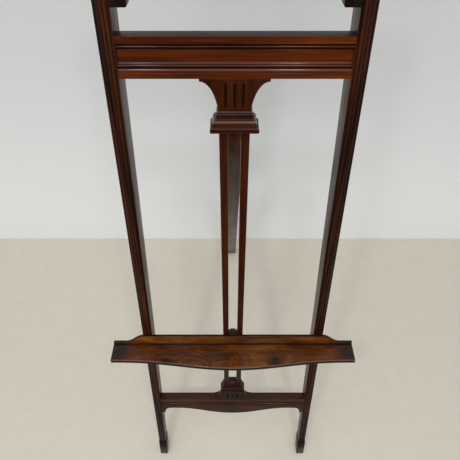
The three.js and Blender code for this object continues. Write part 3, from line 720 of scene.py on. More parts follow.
# %% Model the crest brackets
def model_crest_bracket(side, word):
    low, high = span(f"{word}_crest_bracket")
    inner = min(abs(low.x), abs(high.x)) + 14 * MM
    bottom, top, hollow = low.z, high.z, 14 * MM
    arc = [(inner - hollow + hollow * math.cos(a), top - hollow + hollow * math.sin(a))
           for a in (math.pi / 2 * i / 10 for i in range(11))]
    corner = [(inner + 2.5 * MM * (1 - math.sin(a)), bottom + 2.5 * MM * (1 - math.cos(a)))
              for a in (math.pi / 2 * i / 6 for i in range(7))]
    outline = [(inner_edge(bottom) - CLEARANCE, bottom), *corner, *arc, (inner_edge(top) - CLEARANCE, top)]
    points = [Vector((side * x, high.y, z)) for x, z in outline]
    piece = draw(f"{word}_crest_bracket_wood", points, Vector((0, low.y - high.y, 0)))
    soften(piece, 0.4 * MM, angle=60)
    return install(piece, "front_frame", "dark_mahogany", f"{word}_crest_bracket")


for word, side in SIDES:
    model_crest_bracket(side, word)

# %% [markdown]
# ## Splat
# Two slender stiles carry the shelf. They taper slightly towards the floor and keep a parallel slot between
# them, closed by a small block at each end. Each is a box whose arrises are rounded, because a hand slides
# along them.

# %% Model the stiles and their end blocks
def model_stile(side, word):
    low, high = span(f"splat_{word}_stile")
    slot_edge = min(abs(low.x), abs(high.x)) * side
    wide = max(abs(low.x), abs(high.x)) * side
    piece = block(f"splat_{word}_stile_wood", Vector((min(slot_edge, wide), low.y, low.z)),
                  Vector((max(slot_edge, wide), high.y, high.z)))
    open_piece(piece)
    pick(piece, lambda co: co.z < low.z + MM and abs(co.x) > 15 * MM)
    bpy.ops.transform.translate(value=(-side * 1.5 * MM, 0, 0))
    close_piece()
    soften(piece, 0.8 * MM)
    return install(piece, "front_frame", "red_mahogany", f"splat_{word}_stile")


def model_plain_block(node, body, slot, radius=0.6 * MM):
    low, high = span(node)
    piece = block(f"{node}_wood", low, high)
    soften(piece, radius)
    return install(piece, body, slot, node)


for word, side in SIDES:
    model_stile(side, word)
model_plain_block("splat_head_block", "front_frame", "red_mahogany", 0.4 * MM)
model_plain_block("splat_foot_block", "front_frame", "dark_mahogany", 0.4 * MM)
model_plain_block("shelf_guide_block", "sliding_shelf", "dark_mahogany")

# %% [markdown]
# ## Shelf board
# The shelf is serpentine: its front edge swells from the ends to the middle in one smooth wave, and the
# edge is eased above and below. A box is subdivided along its length, the vertices of the front edge are
# moved onto the wave, and the front arrises are bevelled, more above than below.

# %% Model the shelf board
board_low, board_high = span("shelf_board")
HALF_SHELF = board_high.x
END_DEPTH = -49 * MM
SWELL = board_low.y - END_DEPTH
COLUMNS = 96
NOSING_RUB_AND_HIGHLIGHT = 3.0


def shelf_edge(x):
    return END_DEPTH + SWELL * ((1 + math.cos(math.pi * x / HALF_SHELF)) / 2) ** 1.3


def runs_across(edge):
    return abs(edge.verts[0].co.x - edge.verts[1].co.x) > 0.1


board = block("shelf_board_wood", Vector((board_low.x, END_DEPTH, board_low.z)), board_high)
open_piece(board)
bpy.ops.mesh.select_mode(type="EDGE")
long_edges = [edge for edge in bmesh.from_edit_mesh(board.data).edges if runs_across(edge)]
bpy.ops.mesh.select_all(action="DESELECT")
for edge in long_edges:
    edge.select_set(True)
bmesh.update_edit_mesh(board.data)
bpy.ops.mesh.subdivide(number_cuts=COLUMNS - 1)
for index in range(COLUMNS + 1):
    column = HALF_SHELF * (2 * index / COLUMNS - 1)
    pick(board, lambda co: abs(co.x - column) < 0.1 * MM and co.y < END_DEPTH + MM)
    bpy.ops.transform.translate(value=(0, shelf_edge(column) - END_DEPTH, 0))
pick(board, lambda co: co.y < END_DEPTH + MM and co.z > board_high.z - MM, "EDGE")
bpy.ops.mesh.bevel(offset=2.4 * MM, segments=5, affect="EDGES")
pick(board, lambda co: co.y < END_DEPTH + MM and co.z < board_low.z + MM, "EDGE")
bpy.ops.mesh.bevel(offset=1.2 * MM, segments=3, affect="EDGES")
close_piece()
soften(board, 0.7 * MM, angle=60)
# the shelf's front arris is marked three times as strongly: a painted highlight line along the nosing, besides its
# wear
for face in board.data.polygons:
    if face.normal.y < -0.15 and face.normal.z > 0.25:
        for corner in face.loop_indices:
            board.data.attributes["arris"].data[corner].value = NOSING_RUB_AND_HIGHLIGHT
install(board, "sliding_shelf", "figured_mahogany", "shelf_board")

# %% [markdown]
# ## Upstand
# Behind the board stands a low board that slides on the front of the frame. It is almost flush with the
# shelf at both ends and rises to its full height in an ogee. All its arrises are rounded.

# %% Model the upstand
low, high = span("shelf_upstand")
shelf_top = board_high.z
upstand_face = low.y
END_RISE, FULL_RISE = 4.6 * MM, high.z - shelf_top
END_FLAT, OGEE = 28 * MM, 41 * MM


def ogee_outline():
    right = [(high.x, low.z), (high.x, shelf_top + END_RISE)]
    for i in range(25):
        share = i / 24
        rise = END_RISE + (FULL_RISE - END_RISE) * (1 - math.cos(math.pi * share)) / 2
        right.append((high.x - END_FLAT - OGEE * share, shelf_top + rise))
    return right + [(-x, z) for x, z in reversed(right)]


upstand = draw("shelf_upstand_wood", [Vector((x, high.y, z)) for x, z in ogee_outline()],
               Vector((0, low.y - high.y, 0)))
soften(upstand, 1.1 * MM, segments=4, angle=50)
install(upstand, "sliding_shelf", "figured_mahogany", "shelf_upstand")

# %% [markdown]
# ## Rear leg
# The rear leg is a plain tapering board. It is modelled straight, hanging from the hinge pin, and then
# swung back by the angle at which the broad face of the CAD leg stands. Its head is cut at a bevel that
# bears on the cleat when the leg is open, and its foot is cut level with the floor.

# %% Model the rear leg
pin = Vector(fold["pos_m"])
cad_leg = frame["nodes"]["rear_leg"].data
leg_points = [vertex.co - pin for vertex in cad_leg.vertices]
sole_points = [p for p in leg_points if p.z < min(q.z for q in leg_points) + 10 * MM]
flat_faces = [face for face in cad_leg.polygons if abs(face.normal.x) < 0.01]
broad = max(flat_faces, key=lambda face: face.area).normal
swing = math.atan2(broad.z * math.copysign(1, broad.y), abs(broad.y))
LEG_BENCH = Matrix.Translation(pin) @ Matrix.Rotation(swing, 4, "X")
leg_low, leg_high = span("rear_leg", LEG_BENCH.inverted())

leg = block("rear_leg_wood", Vector((leg_low.x, leg_low.y, leg_low.z - BELOW_FLOOR)), leg_high)
open_piece(leg)
pick(leg, lambda co: co.z < -1)
foot_half = max(abs(p.x) for p in sole_points)
bpy.ops.transform.resize(value=(foot_half / leg_high.x, 1, 1), center_override=(0, 0, 0))
bpy.ops.mesh.select_all(action="SELECT")
into_leg = LEG_BENCH.inverted()
level = into_leg.to_3x3() @ Vector((0, 0, -1))
sole = into_leg @ Vector((0, 0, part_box("rear_leg")[0].z))
bpy.ops.mesh.bisect(plane_co=sole, plane_no=level, use_fill=True, clear_outer=True)
bpy.ops.mesh.select_all(action="SELECT")
cleat_normal = into_leg.to_3x3() @ LEAN.to_3x3() @ Vector((0, -1, 0))
cleat_face = into_leg @ LEAN @ Vector((0, span("hinge_cleat")[1].y + CLEARANCE, (UPRIGHT @ pin).z))
bpy.ops.mesh.bisect(plane_co=cleat_face, plane_no=cleat_normal, use_fill=True, clear_outer=True)
close_piece()
soften(leg, 1 * MM)
install(leg, "rear_leg", "dark_mahogany", "rear_leg", bench=LEG_BENCH)
thick = (leg_high.y - leg_low.y) / MM
print("rear leg: swing", round(math.degrees(swing), 2), "degrees, thickness", round(thick, 2), "mm")

# %% Model the cleat and the clamp plate
model_plain_block("hinge_cleat", "front_frame", "dark_mahogany", 0.8 * MM)
model_plain_block("clamp_plate", "sliding_shelf", "dark_mahogany", 1.5 * MM)

# %% [markdown]
# ## Turned hardware
# Knobs, screws, pins and washers are all turned, so one function does the lathe's work: it draws half a
# section and spins it round an axis. Whatever hole is left at the end is filled.

# %% The lathe
def turned(name, centre, axis, profile, steps=48):
    """Spins a profile, given as (radius, distance along the axis) in millimetres."""
    outward = Vector((0, 0, 1))
    points = [centre + outward * radius * MM + axis * away * MM for radius, away in profile]
    piece = trace(name, points)
    bpy.ops.mesh.spin(steps=steps, angle=2 * math.pi, center=centre, axis=axis)
    bpy.ops.mesh.select_all(action="SELECT")
    bpy.ops.mesh.remove_doubles(threshold=1e-6)
    bpy.ops.mesh.select_mode(type="EDGE")
    bpy.ops.mesh.select_all(action="DESELECT")
    shape = bmesh.from_edit_mesh(piece.data)
    for edge in shape.edges:
        edge.select_set(edge.is_boundary)
    bmesh.update_edit_mesh(piece.data)
    if any(edge.is_boundary for edge in shape.edges):
        bpy.ops.mesh.edge_face_add()
    close_piece()
    assert len(piece.data.polygons) > steps, f"{name} came off the lathe empty"
    return piece


# %% [markdown]
# ## Clamp knob
# A turned brass knob behind the splat locks the shelf. A wedge of rim vertices is drawn in at twelve
# places, which gives finger grips.

# %% Model the knob
knob_low, knob_high = span("clamp_knob")
KNOB_AXIS = Vector((0, 0, (knob_low.z + knob_high.z) / 2))
KNOB_PROFILE = [
    (3.4, 0), (7, 0), (7.5, 0.5), (7.5, 3), (6, 4.5), (7, 5.6),
    (11.4, 6.2), (12.6, 6.8), (12.95, 7.8), (12.95, 11.6), (12.5, 12.6), (11.2, 13.1),
    (7, 14.2), (5.2, 14.6), (3.6, 15.6), (1.6, 16), (0, 16),
]
GRIPS = 12
grip_step = 2 * math.pi / GRIPS
BACKWARD = Vector((0, 1, 0))


def in_grip(co):
    away = co - KNOB_AXIS
    radius = math.hypot(away.x, away.z)
    turn = math.atan2(away.x, away.z) % grip_step
    return radius > 11 * MM and abs(turn - grip_step / 2) < 0.3 * grip_step


knob = turned("clamp_knob_brass", Vector((0, knob_low.y, KNOB_AXIS.z)), BACKWARD, KNOB_PROFILE, 96)
open_piece(knob)
pick(knob, in_grip)
bpy.ops.transform.resize(value=(0.93, 1, 0.93), center_override=KNOB_AXIS)
close_piece()
install(knob, "clamp_knob", "brass", "clamp_knob", smooth=50)

# %% [markdown]
# ## Screws, bolt, washer and pin
# A countersunk screw shows a flat head with a softened rim and one slot. No joiner leaves all the slots in
# line, so each one is turned a little further than the last.

# %% Model the screws
HEAD = 2.7
SHANK = 1.3


def model_screw(index, node, body, slot, bench=LEAN, drive=-1):
    low, high = span(node, bench.inverted())
    length = (high.y - low.y) / MM
    centre = Vector(((low.x + high.x) / 2, high.y if drive < 0 else low.y, (low.z + high.z) / 2))
    head = [(0, 0), (HEAD - 0.4, 0), (HEAD - 0.08, 0.1), (HEAD, 0.28)]
    profile = [*head, (SHANK, 1.8), (SHANK, length - 2), (0, length)]
    piece = turned(f"{node}_turned", centre, BACKWARD * drive, profile)
    reach = Vector((HEAD + 0.5, 0.7, 0.35)) * MM
    cutter = block("slot", centre - reach, centre + reach)
    open_piece(cutter)
    bpy.ops.mesh.select_all(action="SELECT")
    bpy.ops.transform.rotate(value=0.5 + 0.7 * index, orient_axis="Y", center_override=centre)
    close_piece()
    carve(piece, cutter)
    return install(piece, body, slot, node, bench=bench)


screws = [(f"cleat_screw_{i}", "front_frame", "steel") for i in (1, 2)]
screws += [(f"fixed_leaf_screw_{i}", "front_frame", "brass") for i in (1, 2, 3)]
screws += [(f"shelf_screw_{i}", "sliding_shelf", "steel") for i in (1, 2, 3, 4)]
screws += [(f"leg_leaf_screw_{i}", "rear_leg", "brass", LEG_BENCH, 1) for i in (1, 2, 3)]
for index, row in enumerate(screws):
    model_screw(index, *row)

# %% Model the bolt, the washer and the pin
def rod_profile(radius, start, end, chamfer):
    """Half a section of a plain rod, chamfered at both ends."""
    inner = radius - chamfer
    first_half = [(0, start), (inner, start), (radius, start + chamfer)]
    return first_half + [(radius, end - chamfer), (inner, end), (0, end)]


low, high = span("clamp_bolt")
middle = Vector((0, low.y, (low.z + high.z) / 2))
bolt_radius, length = high.x / MM, (high.y - low.y) / MM
bolt = turned("clamp_bolt_turned", middle, BACKWARD, rod_profile(bolt_radius, 0, length, 0.6))
install(bolt, "sliding_shelf", "brass", "clamp_bolt")

low, high = span("clamp_washer")
outer, thick, hole = high.x / MM, (high.y - low.y) / MM, bolt_radius + 0.3
washer = turned("clamp_washer_turned", Vector((0, low.y, middle.z)), BACKWARD, [
    (hole, 0.15), (hole + 0.15, 0), (outer - 0.3, 0), (outer, 0.25),
    (outer, thick - 0.25), (outer - 0.3, thick), (hole + 0.15, thick), (hole, thick - 0.15), (hole, 0.15)])
install(washer, "sliding_shelf", "brass", "clamp_washer")

low, high = span("hinge_pin")
half, radius = high.x / MM, (high.z - low.z) / 2 / MM
pin_profile = rod_profile(radius, -half, half, 0.7)
hinge_pin = turned("hinge_pin_turned", UPRIGHT @ pin, Vector((1, 0, 0)), pin_profile)
install(hinge_pin, "front_frame", "steel", "hinge_pin")

# %% [markdown]
# ## Materials: sums on sockets
# Wood needs a good deal of shader maths. To keep it readable, `Wire` wraps an output socket and gives it
# the usual operators, each of which adds one Math node. `Finish` holds one material and makes every other
# kind of node.

# %% Shader helpers
class Wire:
    def __init__(self, finish, socket):
        self.finish, self.socket = finish, socket

    def _math(self, operation, first, second):
        return self.finish.node("ShaderNodeMath", {"operation": operation}, {0: first, 1: second})

    def __add__(self, other):
        return self._math("ADD", self, other)

    def __radd__(self, other):
        return self._math("ADD", other, self)

    def __sub__(self, other):
        return self._math("SUBTRACT", self, other)

    def __rsub__(self, other):
        return self._math("SUBTRACT", other, self)

    def __mul__(self, other):
        return self._math("MULTIPLY", self, other)

    def __rmul__(self, other):
        return self._math("MULTIPLY", other, self)

    def __truediv__(self, other):
        return self._math("DIVIDE", self, other)

    def __pow__(self, other):
        return self._math("POWER", self, other)

    def between(self, low, high):
        """0 below low, 1 above high, and smooth between them."""
        settings = {"interpolation_type": "SMOOTHSTEP"}
        return self.finish.node("ShaderNodeMapRange", settings, {0: self, 1: low, 2: high})


class Finish:
    def __init__(self, name):
        self.material = bpy.data.materials.new(name)
        self.material.use_nodes = True
        self.tree = self.material.node_tree
        self.tree.nodes.clear()

    def node(self, kind, settings, inputs, output=0):
        made = self.tree.nodes.new(kind)
        for key, value in settings.items():
            setattr(made, key, value)
        for key, value in inputs.items():
            if isinstance(value, Wire):
                self.tree.links.new(value.socket, made.inputs[key])
            else:
                made.inputs[key].default_value = value
        return Wire(self, made.outputs[output])

    def coordinates(self, turn=(0, 0, 0), shift=(0, 0, 0)):
        place = self.node("ShaderNodeTexCoord", {}, {}, "Object")
        return self.node("ShaderNodeMapping", {}, {"Vector": place, "Rotation": turn, "Location": shift})

    def stretched(self, place, scale):
        return self.node("ShaderNodeVectorMath", {"operation": "MULTIPLY"}, {0: place, 1: scale})

    def noise(self, place, scale, detail=4, roughness=0.55, distortion=0.0):
        inputs = {"Vector": self.stretched(place, scale), "Scale": 1, "Detail": detail,
                  "Roughness": roughness, "Distortion": distortion}
        return self.node("ShaderNodeTexNoise", {}, inputs)

    def ramp(self, value, stops):
        made = self.tree.nodes.new("ShaderNodeValToRGB")
        while len(made.color_ramp.elements) < len(stops):
            made.color_ramp.elements.new(0.5)
        for element, (place, tint) in zip(made.color_ramp.elements, stops):
            element.position = place
            element.color = tint
        self.tree.links.new(value.socket, made.inputs[0])
        return Wire(self, made.outputs[0])

    def mix(self, share, first, second):
        return self.node("ShaderNodeMix", {"data_type": "RGBA"}, {0: share, 6: first, 7: second}, 2)

    def bump(self, height, strength, distance, normal=None):
        inputs = {"Height": height, "Strength": strength, "Distance": distance}
        if normal:
            inputs["Normal"] = normal
        return self.node("ShaderNodeBump", {}, inputs)

    def surface(self, **inputs):
        named = {key.replace("_", " "): value for key, value in inputs.items()}
        shader = self.node("ShaderNodeBsdfPrincipled", {}, named)
        self.node_output = self.tree.nodes.new("ShaderNodeOutputMaterial")
        self.tree.links.new(shader.socket, self.node_output.inputs["Surface"])
        return self.material


def colour(red, green, blue):
    return (red, green, blue, 1)


# %% [markdown]
# ## French-polished mahogany
# Old polished mahogany has four things to show: long streaks of dark and light along the board, a figure
# where the grain rises, short dark pores, and a thin hard film of shellac over all of it. The streaks,
# figure and pores are noises stretched along the grain. The film is the shader's coat over a nearly matt
# wood: faces seen square on keep their deep colour, and faces seen at a slant turn grey with the room's
# reflection. Ripples and handling marks go to the bump, the roughness and the coat. The arrises that
# `soften` marked are rubbed lighter, which is wear and also a painted highlight. The marked grooves go
# dark with painted shade and some gathered old polish, and the marked tops go dark with painted shade.

# %% The mahogany recipe
def turn_to_grain(grain):
    """The rotation that brings a piece's grain onto the pattern's X axis."""
    return tuple(Vector(grain).rotation_difference(Vector((1, 0, 0))).to_euler())


def wood_tone(finish, place, wood):
    """Streaks, fibres and clouds along the grain, as one value about 0.5."""
    streaks = finish.noise(place, (1.8, 115, 115), 5, 0.6) - 0.5
    fibres = finish.noise(place, (16, 520, 520), 3, 0.6) - 0.5
    clouds = finish.noise(place, (4, 11, 11), 3, 0.5, 0.8) - 0.5
    return 0.5 + streaks * wood["streaks"] + fibres * wood["fibres"] + clouds * wood["clouds"]


def polish(finish, place, base, film, top_dark=0.0):
    """Adds painted shade in the grooves and on the tops, worn arrises with a painted highlight, pores and ripples,
    and closes the material.
    """
    marks = ("arris", "shaded_top", "groove_shade_and_polish")
    arris, shaded_top, groove_shade_and_polish = (
        finish.node("ShaderNodeAttribute", {"attribute_name": mark}, {}, "Fac") for mark in marks)
    rub_and_highlight = finish.noise(finish.coordinates(), (55, 55, 55), 4, 0.6).between(0.2, 0.7) * arris
    fibres = finish.noise(place, (14, 420, 420), 3, 0.6)
    pores = finish.noise(place, (80, 2300, 2300), 2, 0.5).between(0.6, 0.72)
    ripple = finish.noise(place, (5, 26, 26), 2, 0.5)
    handling = finish.noise(place, (11, 23, 23), 5, 0.65).between(0.35, 0.75)

    # worn arrises rubbed lighter: real wear, and also a painted highlight along the edges
    base = finish.mix(rub_and_highlight * 0.5, base, colour(0.12, 0.05, 0.026))
    base = finish.mix(pores * 0.5, base, colour(0.006, 0.0025, 0.0015))
    # painted shade: the faces that look up are darkened, as if the light came mostly from the front
    base = finish.mix(shaded_top * top_dark, base, colour(0.006, 0.004, 0.003))
    # painted shade in the grooves, quirks and flutes, with some gathered old polish
    base = finish.mix(groove_shade_and_polish * 0.88, base, colour(0.003, 0.0012, 0.0008))
    relief = finish.bump(fibres * 0.5 + (1 - pores) * 0.5, 0.1, 0.0001)
    relief = finish.bump(ripple, 0.2, 0.0005, relief)
    return finish.surface(
        Base_Color=base,
        Roughness=0.3 + handling * 0.15 + pores * 0.15 + rub_and_highlight * 0.12,
        Specular_IOR_Level=0.1,
        Normal=relief,
        Coat_Weight=film * (1 - handling * 0.25) * (1 - shaded_top * top_dark * 0.3) * (1 - groove_shade_and_polish * 0.6),
        Coat_Roughness=0.13,
        Coat_IOR=1.5,
    )


def mahogany(name, grain, shift, wood):
    finish = Finish(name)
    place = finish.coordinates(turn_to_grain(grain), shift)
    base = finish.ramp(wood_tone(finish, place, wood), wood["stops"])
    return polish(finish, place, base, wood["film"], wood.get("top_dark", 0.0))


# %% Wood colours and grain directions
DARK = dict(film=0.34, streaks=0.9, fibres=0.35, clouds=0.6, stops=(
    (0.3, colour(0.008, 0.0022, 0.0008)), (0.5, colour(0.022, 0.0052, 0.0015)),
    (0.75, colour(0.05, 0.013, 0.003))))
GREYED = dict(DARK, film=0.52)
# near-black colours: painted shade on the crest brackets, which sit in the shadow of the cornice; the feet reuse
# these colours
NEAR_BLACK = dict(film=0.15, streaks=0.6, fibres=0.3, clouds=0.5, stops=(
    (0.3, colour(0.003, 0.0012, 0.0009)), (0.5, colour(0.006, 0.0022, 0.0016)),
    (0.75, colour(0.014, 0.005, 0.003))))
MATT = dict(NEAR_BLACK, film=0.16)
REEDED = dict(film=0.16, streaks=1.2, fibres=0.5, clouds=0.6, stops=(
    (0.3, colour(0.007, 0.0017, 0.0006)), (0.5, colour(0.03, 0.0066, 0.0014)),
    (0.75, colour(0.066, 0.0165, 0.003))))
RED = dict(film=0.36, streaks=0.9, fibres=0.35, clouds=0.8, top_dark=0.95, stops=(
    (0.3, colour(0.036, 0.005, 0.0003)), (0.5, colour(0.078, 0.0138, 0.0003)),
    (0.75, colour(0.14, 0.032, 0.0006))))
BROWN = dict(film=0.34, streaks=0.8, fibres=0.3, clouds=0.6, stops=(
    (0.3, colour(0.013, 0.0025, 0.0004)), (0.5, colour(0.03, 0.0058, 0.0007)),
    (0.75, colour(0.056, 0.012, 0.0012))))
GLOSSY = dict(BROWN, film=0.7)
# a dimmer copy of the mahogany for the stretcher: painted shade, as it stands low in the shade
STRETCHER_SHADE = dict(film=0.38, streaks=0.7, fibres=0.3, clouds=0.8, stops=(
    (0.3, colour(0.013, 0.0036, 0.0012)), (0.5, colour(0.03, 0.0086, 0.0021)),
    (0.75, colour(0.055, 0.017, 0.004))))
ACROSS = Vector((1, 0, 0))
UP = along
LEG_GRAIN = LEG_BENCH.to_3x3() @ Vector((0, 0, 1))

WOODEN = {
    "left_foot_cuff": (MATT, UP), "right_foot_cuff": (MATT, UP),
    # the crest brackets are painted near black as painted shade under the cornice
    "left_crest_bracket_wood": (NEAR_BLACK, UP), "right_crest_bracket_wood": (NEAR_BLACK, UP),
    "left_upright_wood": (REEDED, UP), "right_upright_wood": (REEDED, UP),
    "rear_leg_wood": (GREYED, LEG_GRAIN), "hinge_cleat_wood": (DARK, UP), "clamp_plate_wood": (DARK, UP),
    "shelf_guide_block_wood": (DARK, UP), "splat_foot_block_wood": (DARK, UP),
    "lower_collar_wood": (DARK, ACROSS), "upper_collar_wood": (GLOSSY, ACROSS),
    "mid_rail_wood": (RED, ACROSS), "crest_rail_wood": (RED, ACROSS), "cornice_wood": (RED, ACROSS),
    # the stretcher takes the dimmer copy: painted shade
    "stretcher_wood": (STRETCHER_SHADE, ACROSS), "capital_wood": (BROWN, UP), "fluted_base_wood": (DARK, UP),
    "splat_left_stile_wood": (BROWN, UP), "splat_right_stile_wood": (BROWN, UP),
    "splat_head_block_wood": (BROWN, UP),
}


def dress(piece, *materials):
    piece.data.materials.clear()
    for material in materials:
        piece.data.materials.append(material)


for index, (name, (wood, grain)) in enumerate(WOODEN.items()):
    shift = (0.37 * index, 0.11 * index, 0.23 * index)
    dress(bpy.data.objects[name], mahogany(f"{name}_polish", grain, shift, wood))
print("plain mahogany pieces:", len(WOODEN))

# %% [markdown]
# ## The flame figure of the shelf
# The shelf was cut from a crotch, where two limbs meet, so its grain swirls. Rings about a point near the
# middle, bent by noise, make the swirl. Broad clouds make the dark and orange patches. Towards the two ends
# the colour goes nearly black. The corner between board and upstand is darkened by a painted contact
# shadow. The top edge of the upstand and the front edge of the board are painted near black: a painted
# dark reflection, with painted shade under the nosing.

# %% Figured polish
def from_corner(finish):
    """Distance from the corner where the board's top meets the face of the upstand."""
    squares = []
    for direction, start in ((Vector((0, 1, 0)), upstand_face), (Vector((0, 0, 1)), shelf_top)):
        axis = LEAN.to_3x3() @ direction
        origin = axis.dot(LEAN @ (direction * start))
        inputs = {0: finish.coordinates(), 1: tuple(axis)}
        away = finish.node("ShaderNodeVectorMath", {"operation": "DOT_PRODUCT"}, inputs, "Value") - origin
        squares.append(away * away)
    return (squares[0] + squares[1]) ** 0.5


def figured(name, swirl, shift):
    finish = Finish(name)
    place = finish.coordinates((0, 0, 0), shift)
    inputs = {0: finish.coordinates(), 1: swirl}
    centred = finish.node("ShaderNodeVectorMath", {"operation": "SUBTRACT"}, inputs)
    bent = finish.node("ShaderNodeTexNoise", {}, {"Vector": centred, "Scale": 13.0, "Detail": 3.0}, "Color")
    bent = finish.node("ShaderNodeVectorMath", {"operation": "MULTIPLY_ADD"},
                       {0: bent, 1: (0.06, 0.06, 0.06), 2: finish.stretched(centred, (0.6, 1.3, 1.3))})
    away = finish.node("ShaderNodeVectorMath", {"operation": "LENGTH"}, {0: bent}, "Value")
    rings = finish.node("ShaderNodeMath", {"operation": "SINE"}, {0: away * 620}) * 0.5
    near = 1 - away.between(0.04, 0.13)
    patches = finish.noise(place, (8, 17, 17), 3, 0.5, 1.2) - 0.5
    flames = finish.noise(place, (13, 60, 60), 4, 0.6, 2.2) - 0.5
    tone = wood_tone(finish, place, FIGURED) + rings * near * 0.17
    tone = tone + patches * (1.2 - near * 0.4) + flames * 0.45
    for knot in KNOTS:
        apart = finish.node("ShaderNodeVectorMath", {"operation": "DISTANCE"},
                            {0: finish.coordinates(), 1: tuple(LEAN @ Vector(knot))}, "Value")
        wavy = apart + (patches + flames) * 0.03
        tone = tone - (1 - wavy.between(0.0, 0.024)) * 0.34
    base = finish.ramp(tone, FIGURED["stops"])
    across = finish.node("ShaderNodeSeparateXYZ", {}, {0: finish.coordinates()}, 0)
    end = finish.node("ShaderNodeMath", {"operation": "ABSOLUTE"}, {0: across}) / HALF_SHELF
    cloud = finish.noise(finish.coordinates(), (9, 9, 9), 3) * 0.14
    base = finish.mix((end + cloud).between(0.88, 1.01) * 0.88, base, colour(0.011, 0.007, 0.006))
    # painted contact shadow in the corner where the board meets the upstand
    corner = 1 - from_corner(finish).between(0.8 * MM, 3.2 * MM)
    base = finish.mix(corner * 0.9, base, colour(0.004, 0.002, 0.0015))
    return polish(finish, place, base, FIGURED["film"])


# near-black edge colour: a painted dark reflection on the upstand's top and the board's front, and painted shade
# under the nosing
def dark_edge_paint(name):
    finish = Finish(name)
    place = finish.coordinates()
    fibres = finish.noise(place, (14, 420, 420), 3, 0.6)
    base = finish.ramp(fibres, ((0.3, colour(0.004, 0.003, 0.003)), (0.7, colour(0.014, 0.009, 0.008))))
    return polish(finish, place, base, 0.15)


FIGURED = dict(film=0.36, streaks=0.35, fibres=0.35, clouds=0.2, stops=(
    (0.15, colour(0.016, 0.0046, 0.0022)), (0.5, colour(0.085, 0.022, 0.0024)),
    (0.85, colour(0.21, 0.07, 0.0045))))
KNOTS = ((-0.139, -0.053, board_high.z), (0.095, -0.058, board_high.z))
swirl_at = LEAN @ Vector((-0.045, -0.045, board_high.z))
dress(board, figured("shelf_figure", tuple(swirl_at), (0.0, 0.0, 0.0)), dark_edge_paint("painted_dark_nosing"))
dress(upstand, figured("upstand_figure", tuple(swirl_at), (0.21, 0.4, 0.0)), dark_edge_paint("painted_dark_upstand_top"))
upward, forward = LEAN.to_3x3() @ Vector((0, 0, 1)), LEAN.to_3x3() @ Vector((0, -1, 0))
# the upstand's top, the board's front and the underside of the nosing take the near-black painted reflection and
# shade
for face in upstand.data.polygons:
    if face.normal.dot(upward) > 0.25:
        face.material_index = 1
for face in board.data.polygons:
    faces_front = face.normal.dot(forward)
    under_nosing = face.normal.dot(upward) < -0.2 and faces_front > 0.1
    if faces_front > 0.93 or under_nosing:
        face.material_index = 1

# %% [markdown]
# ## Brass, steel, felt and beech
# The hardware is only seen from behind. Aged brass is a warm metal whose polish has gone patchy, steel
# screws are darker and duller, felt is a rough cloth with a fine nap, and the dowels are bare beech with
# short flecks. The knob is a browner brass. The hinge leaves, pads and dowels are shown as the CAD has
# them.

# %% Hardware finishes
def metal(name, bright, dull, rough, worn):
    finish = Finish(name)
    place = finish.coordinates()
    patina = finish.noise(place, (90, 90, 90), 5, 0.65)
    scratches = finish.noise(place, (3000, 300, 300), 2, 0.5)
    base = finish.mix(patina.between(0.4, 0.72), bright, dull)
    relief = finish.bump(scratches, 0.15, 0.00005)
    shine = rough + patina.between(0.35, 0.75) * worn + scratches * 0.06
    return finish.surface(Base_Color=base, Metallic=1.0, Roughness=shine, Normal=relief)


def felt(name):
    finish = Finish(name)
    place = finish.coordinates()
    nap = finish.noise(place, (2600, 2600, 2600), 3, 0.7)
    base = finish.mix(nap, colour(0.01, 0.008, 0.007), colour(0.035, 0.028, 0.024))
    return finish.surface(Base_Color=base, Roughness=0.95, Normal=finish.bump(nap, 0.6, 0.0004),
                          Sheen_Weight=0.3, Sheen_Roughness=0.5)


def beech(name):
    finish = Finish(name)
    place = finish.coordinates(turn_to_grain(UP))
    flecks = finish.noise(place, (180, 900, 900), 2, 0.5).between(0.55, 0.7)
    base = finish.mix(flecks, colour(0.38, 0.22, 0.12), colour(0.22, 0.11, 0.05))
    return finish.surface(Base_Color=base, Roughness=0.7, Normal=finish.bump(flecks, 0.2, 0.0001))


HARDWARE = {
    "brass": metal("aged_brass", colour(0.56, 0.39, 0.15), colour(0.2, 0.12, 0.05), 0.26, 0.25),
    "steel": metal("dull_steel", colour(0.3, 0.29, 0.27), colour(0.1, 0.09, 0.08), 0.35, 0.25),
    "sole_felt": felt("sole_felt"),
    "plain_dowel": beech("bare_beech"),
}
dress(knob, metal("browned_brass", colour(0.16, 0.1, 0.045), colour(0.04, 0.026, 0.014), 0.34, 0.25))
turned_pieces = {f"{row[0]}_turned": row[2] for row in screws}
turned_pieces.update(clamp_bolt_turned="brass", clamp_washer_turned="brass", hinge_pin_turned="steel")
for name, slot in turned_pieces.items():
    dress(bpy.data.objects[name], HARDWARE[slot])
for row in frame["record"]["subparts"]:
    node = frame["nodes"][row["node"]]
    if not node.hide_render:
        dress(node, HARDWARE[row["material_slot"]])
        print("kept from the CAD:", row["node"])

# %% [markdown]
# ## The studio
# A pale floor runs under the easel and a pale wall stands close behind it. The polish mirrors both, which
# is where the grey sheen on the upright's sides comes from. The wall only shows from the front, so that the
# easel can be seen from behind as well. Two dark flags in front of the easel, one standing and one lying,
# keep the front faces deep. Only reflections see them.

# %% Floor, wall and flags
FLOOR_SIZE = 12
WALL_BACK = 0.05


def plain(name, tint, speckle):
    finish = Finish(name)
    place = finish.coordinates()
    cloud = finish.noise(place, (3, 3, 3), 3)
    grit = finish.noise(place, (240, 240, 240), 3, 0.7)
    shade = 1 + (cloud - 0.5) * 0.05 + (grit - 0.5) * speckle
    scaled = finish.node("ShaderNodeVectorMath", {"operation": "SCALE"}, {0: tint[:3], "Scale": shade})
    return finish, scaled


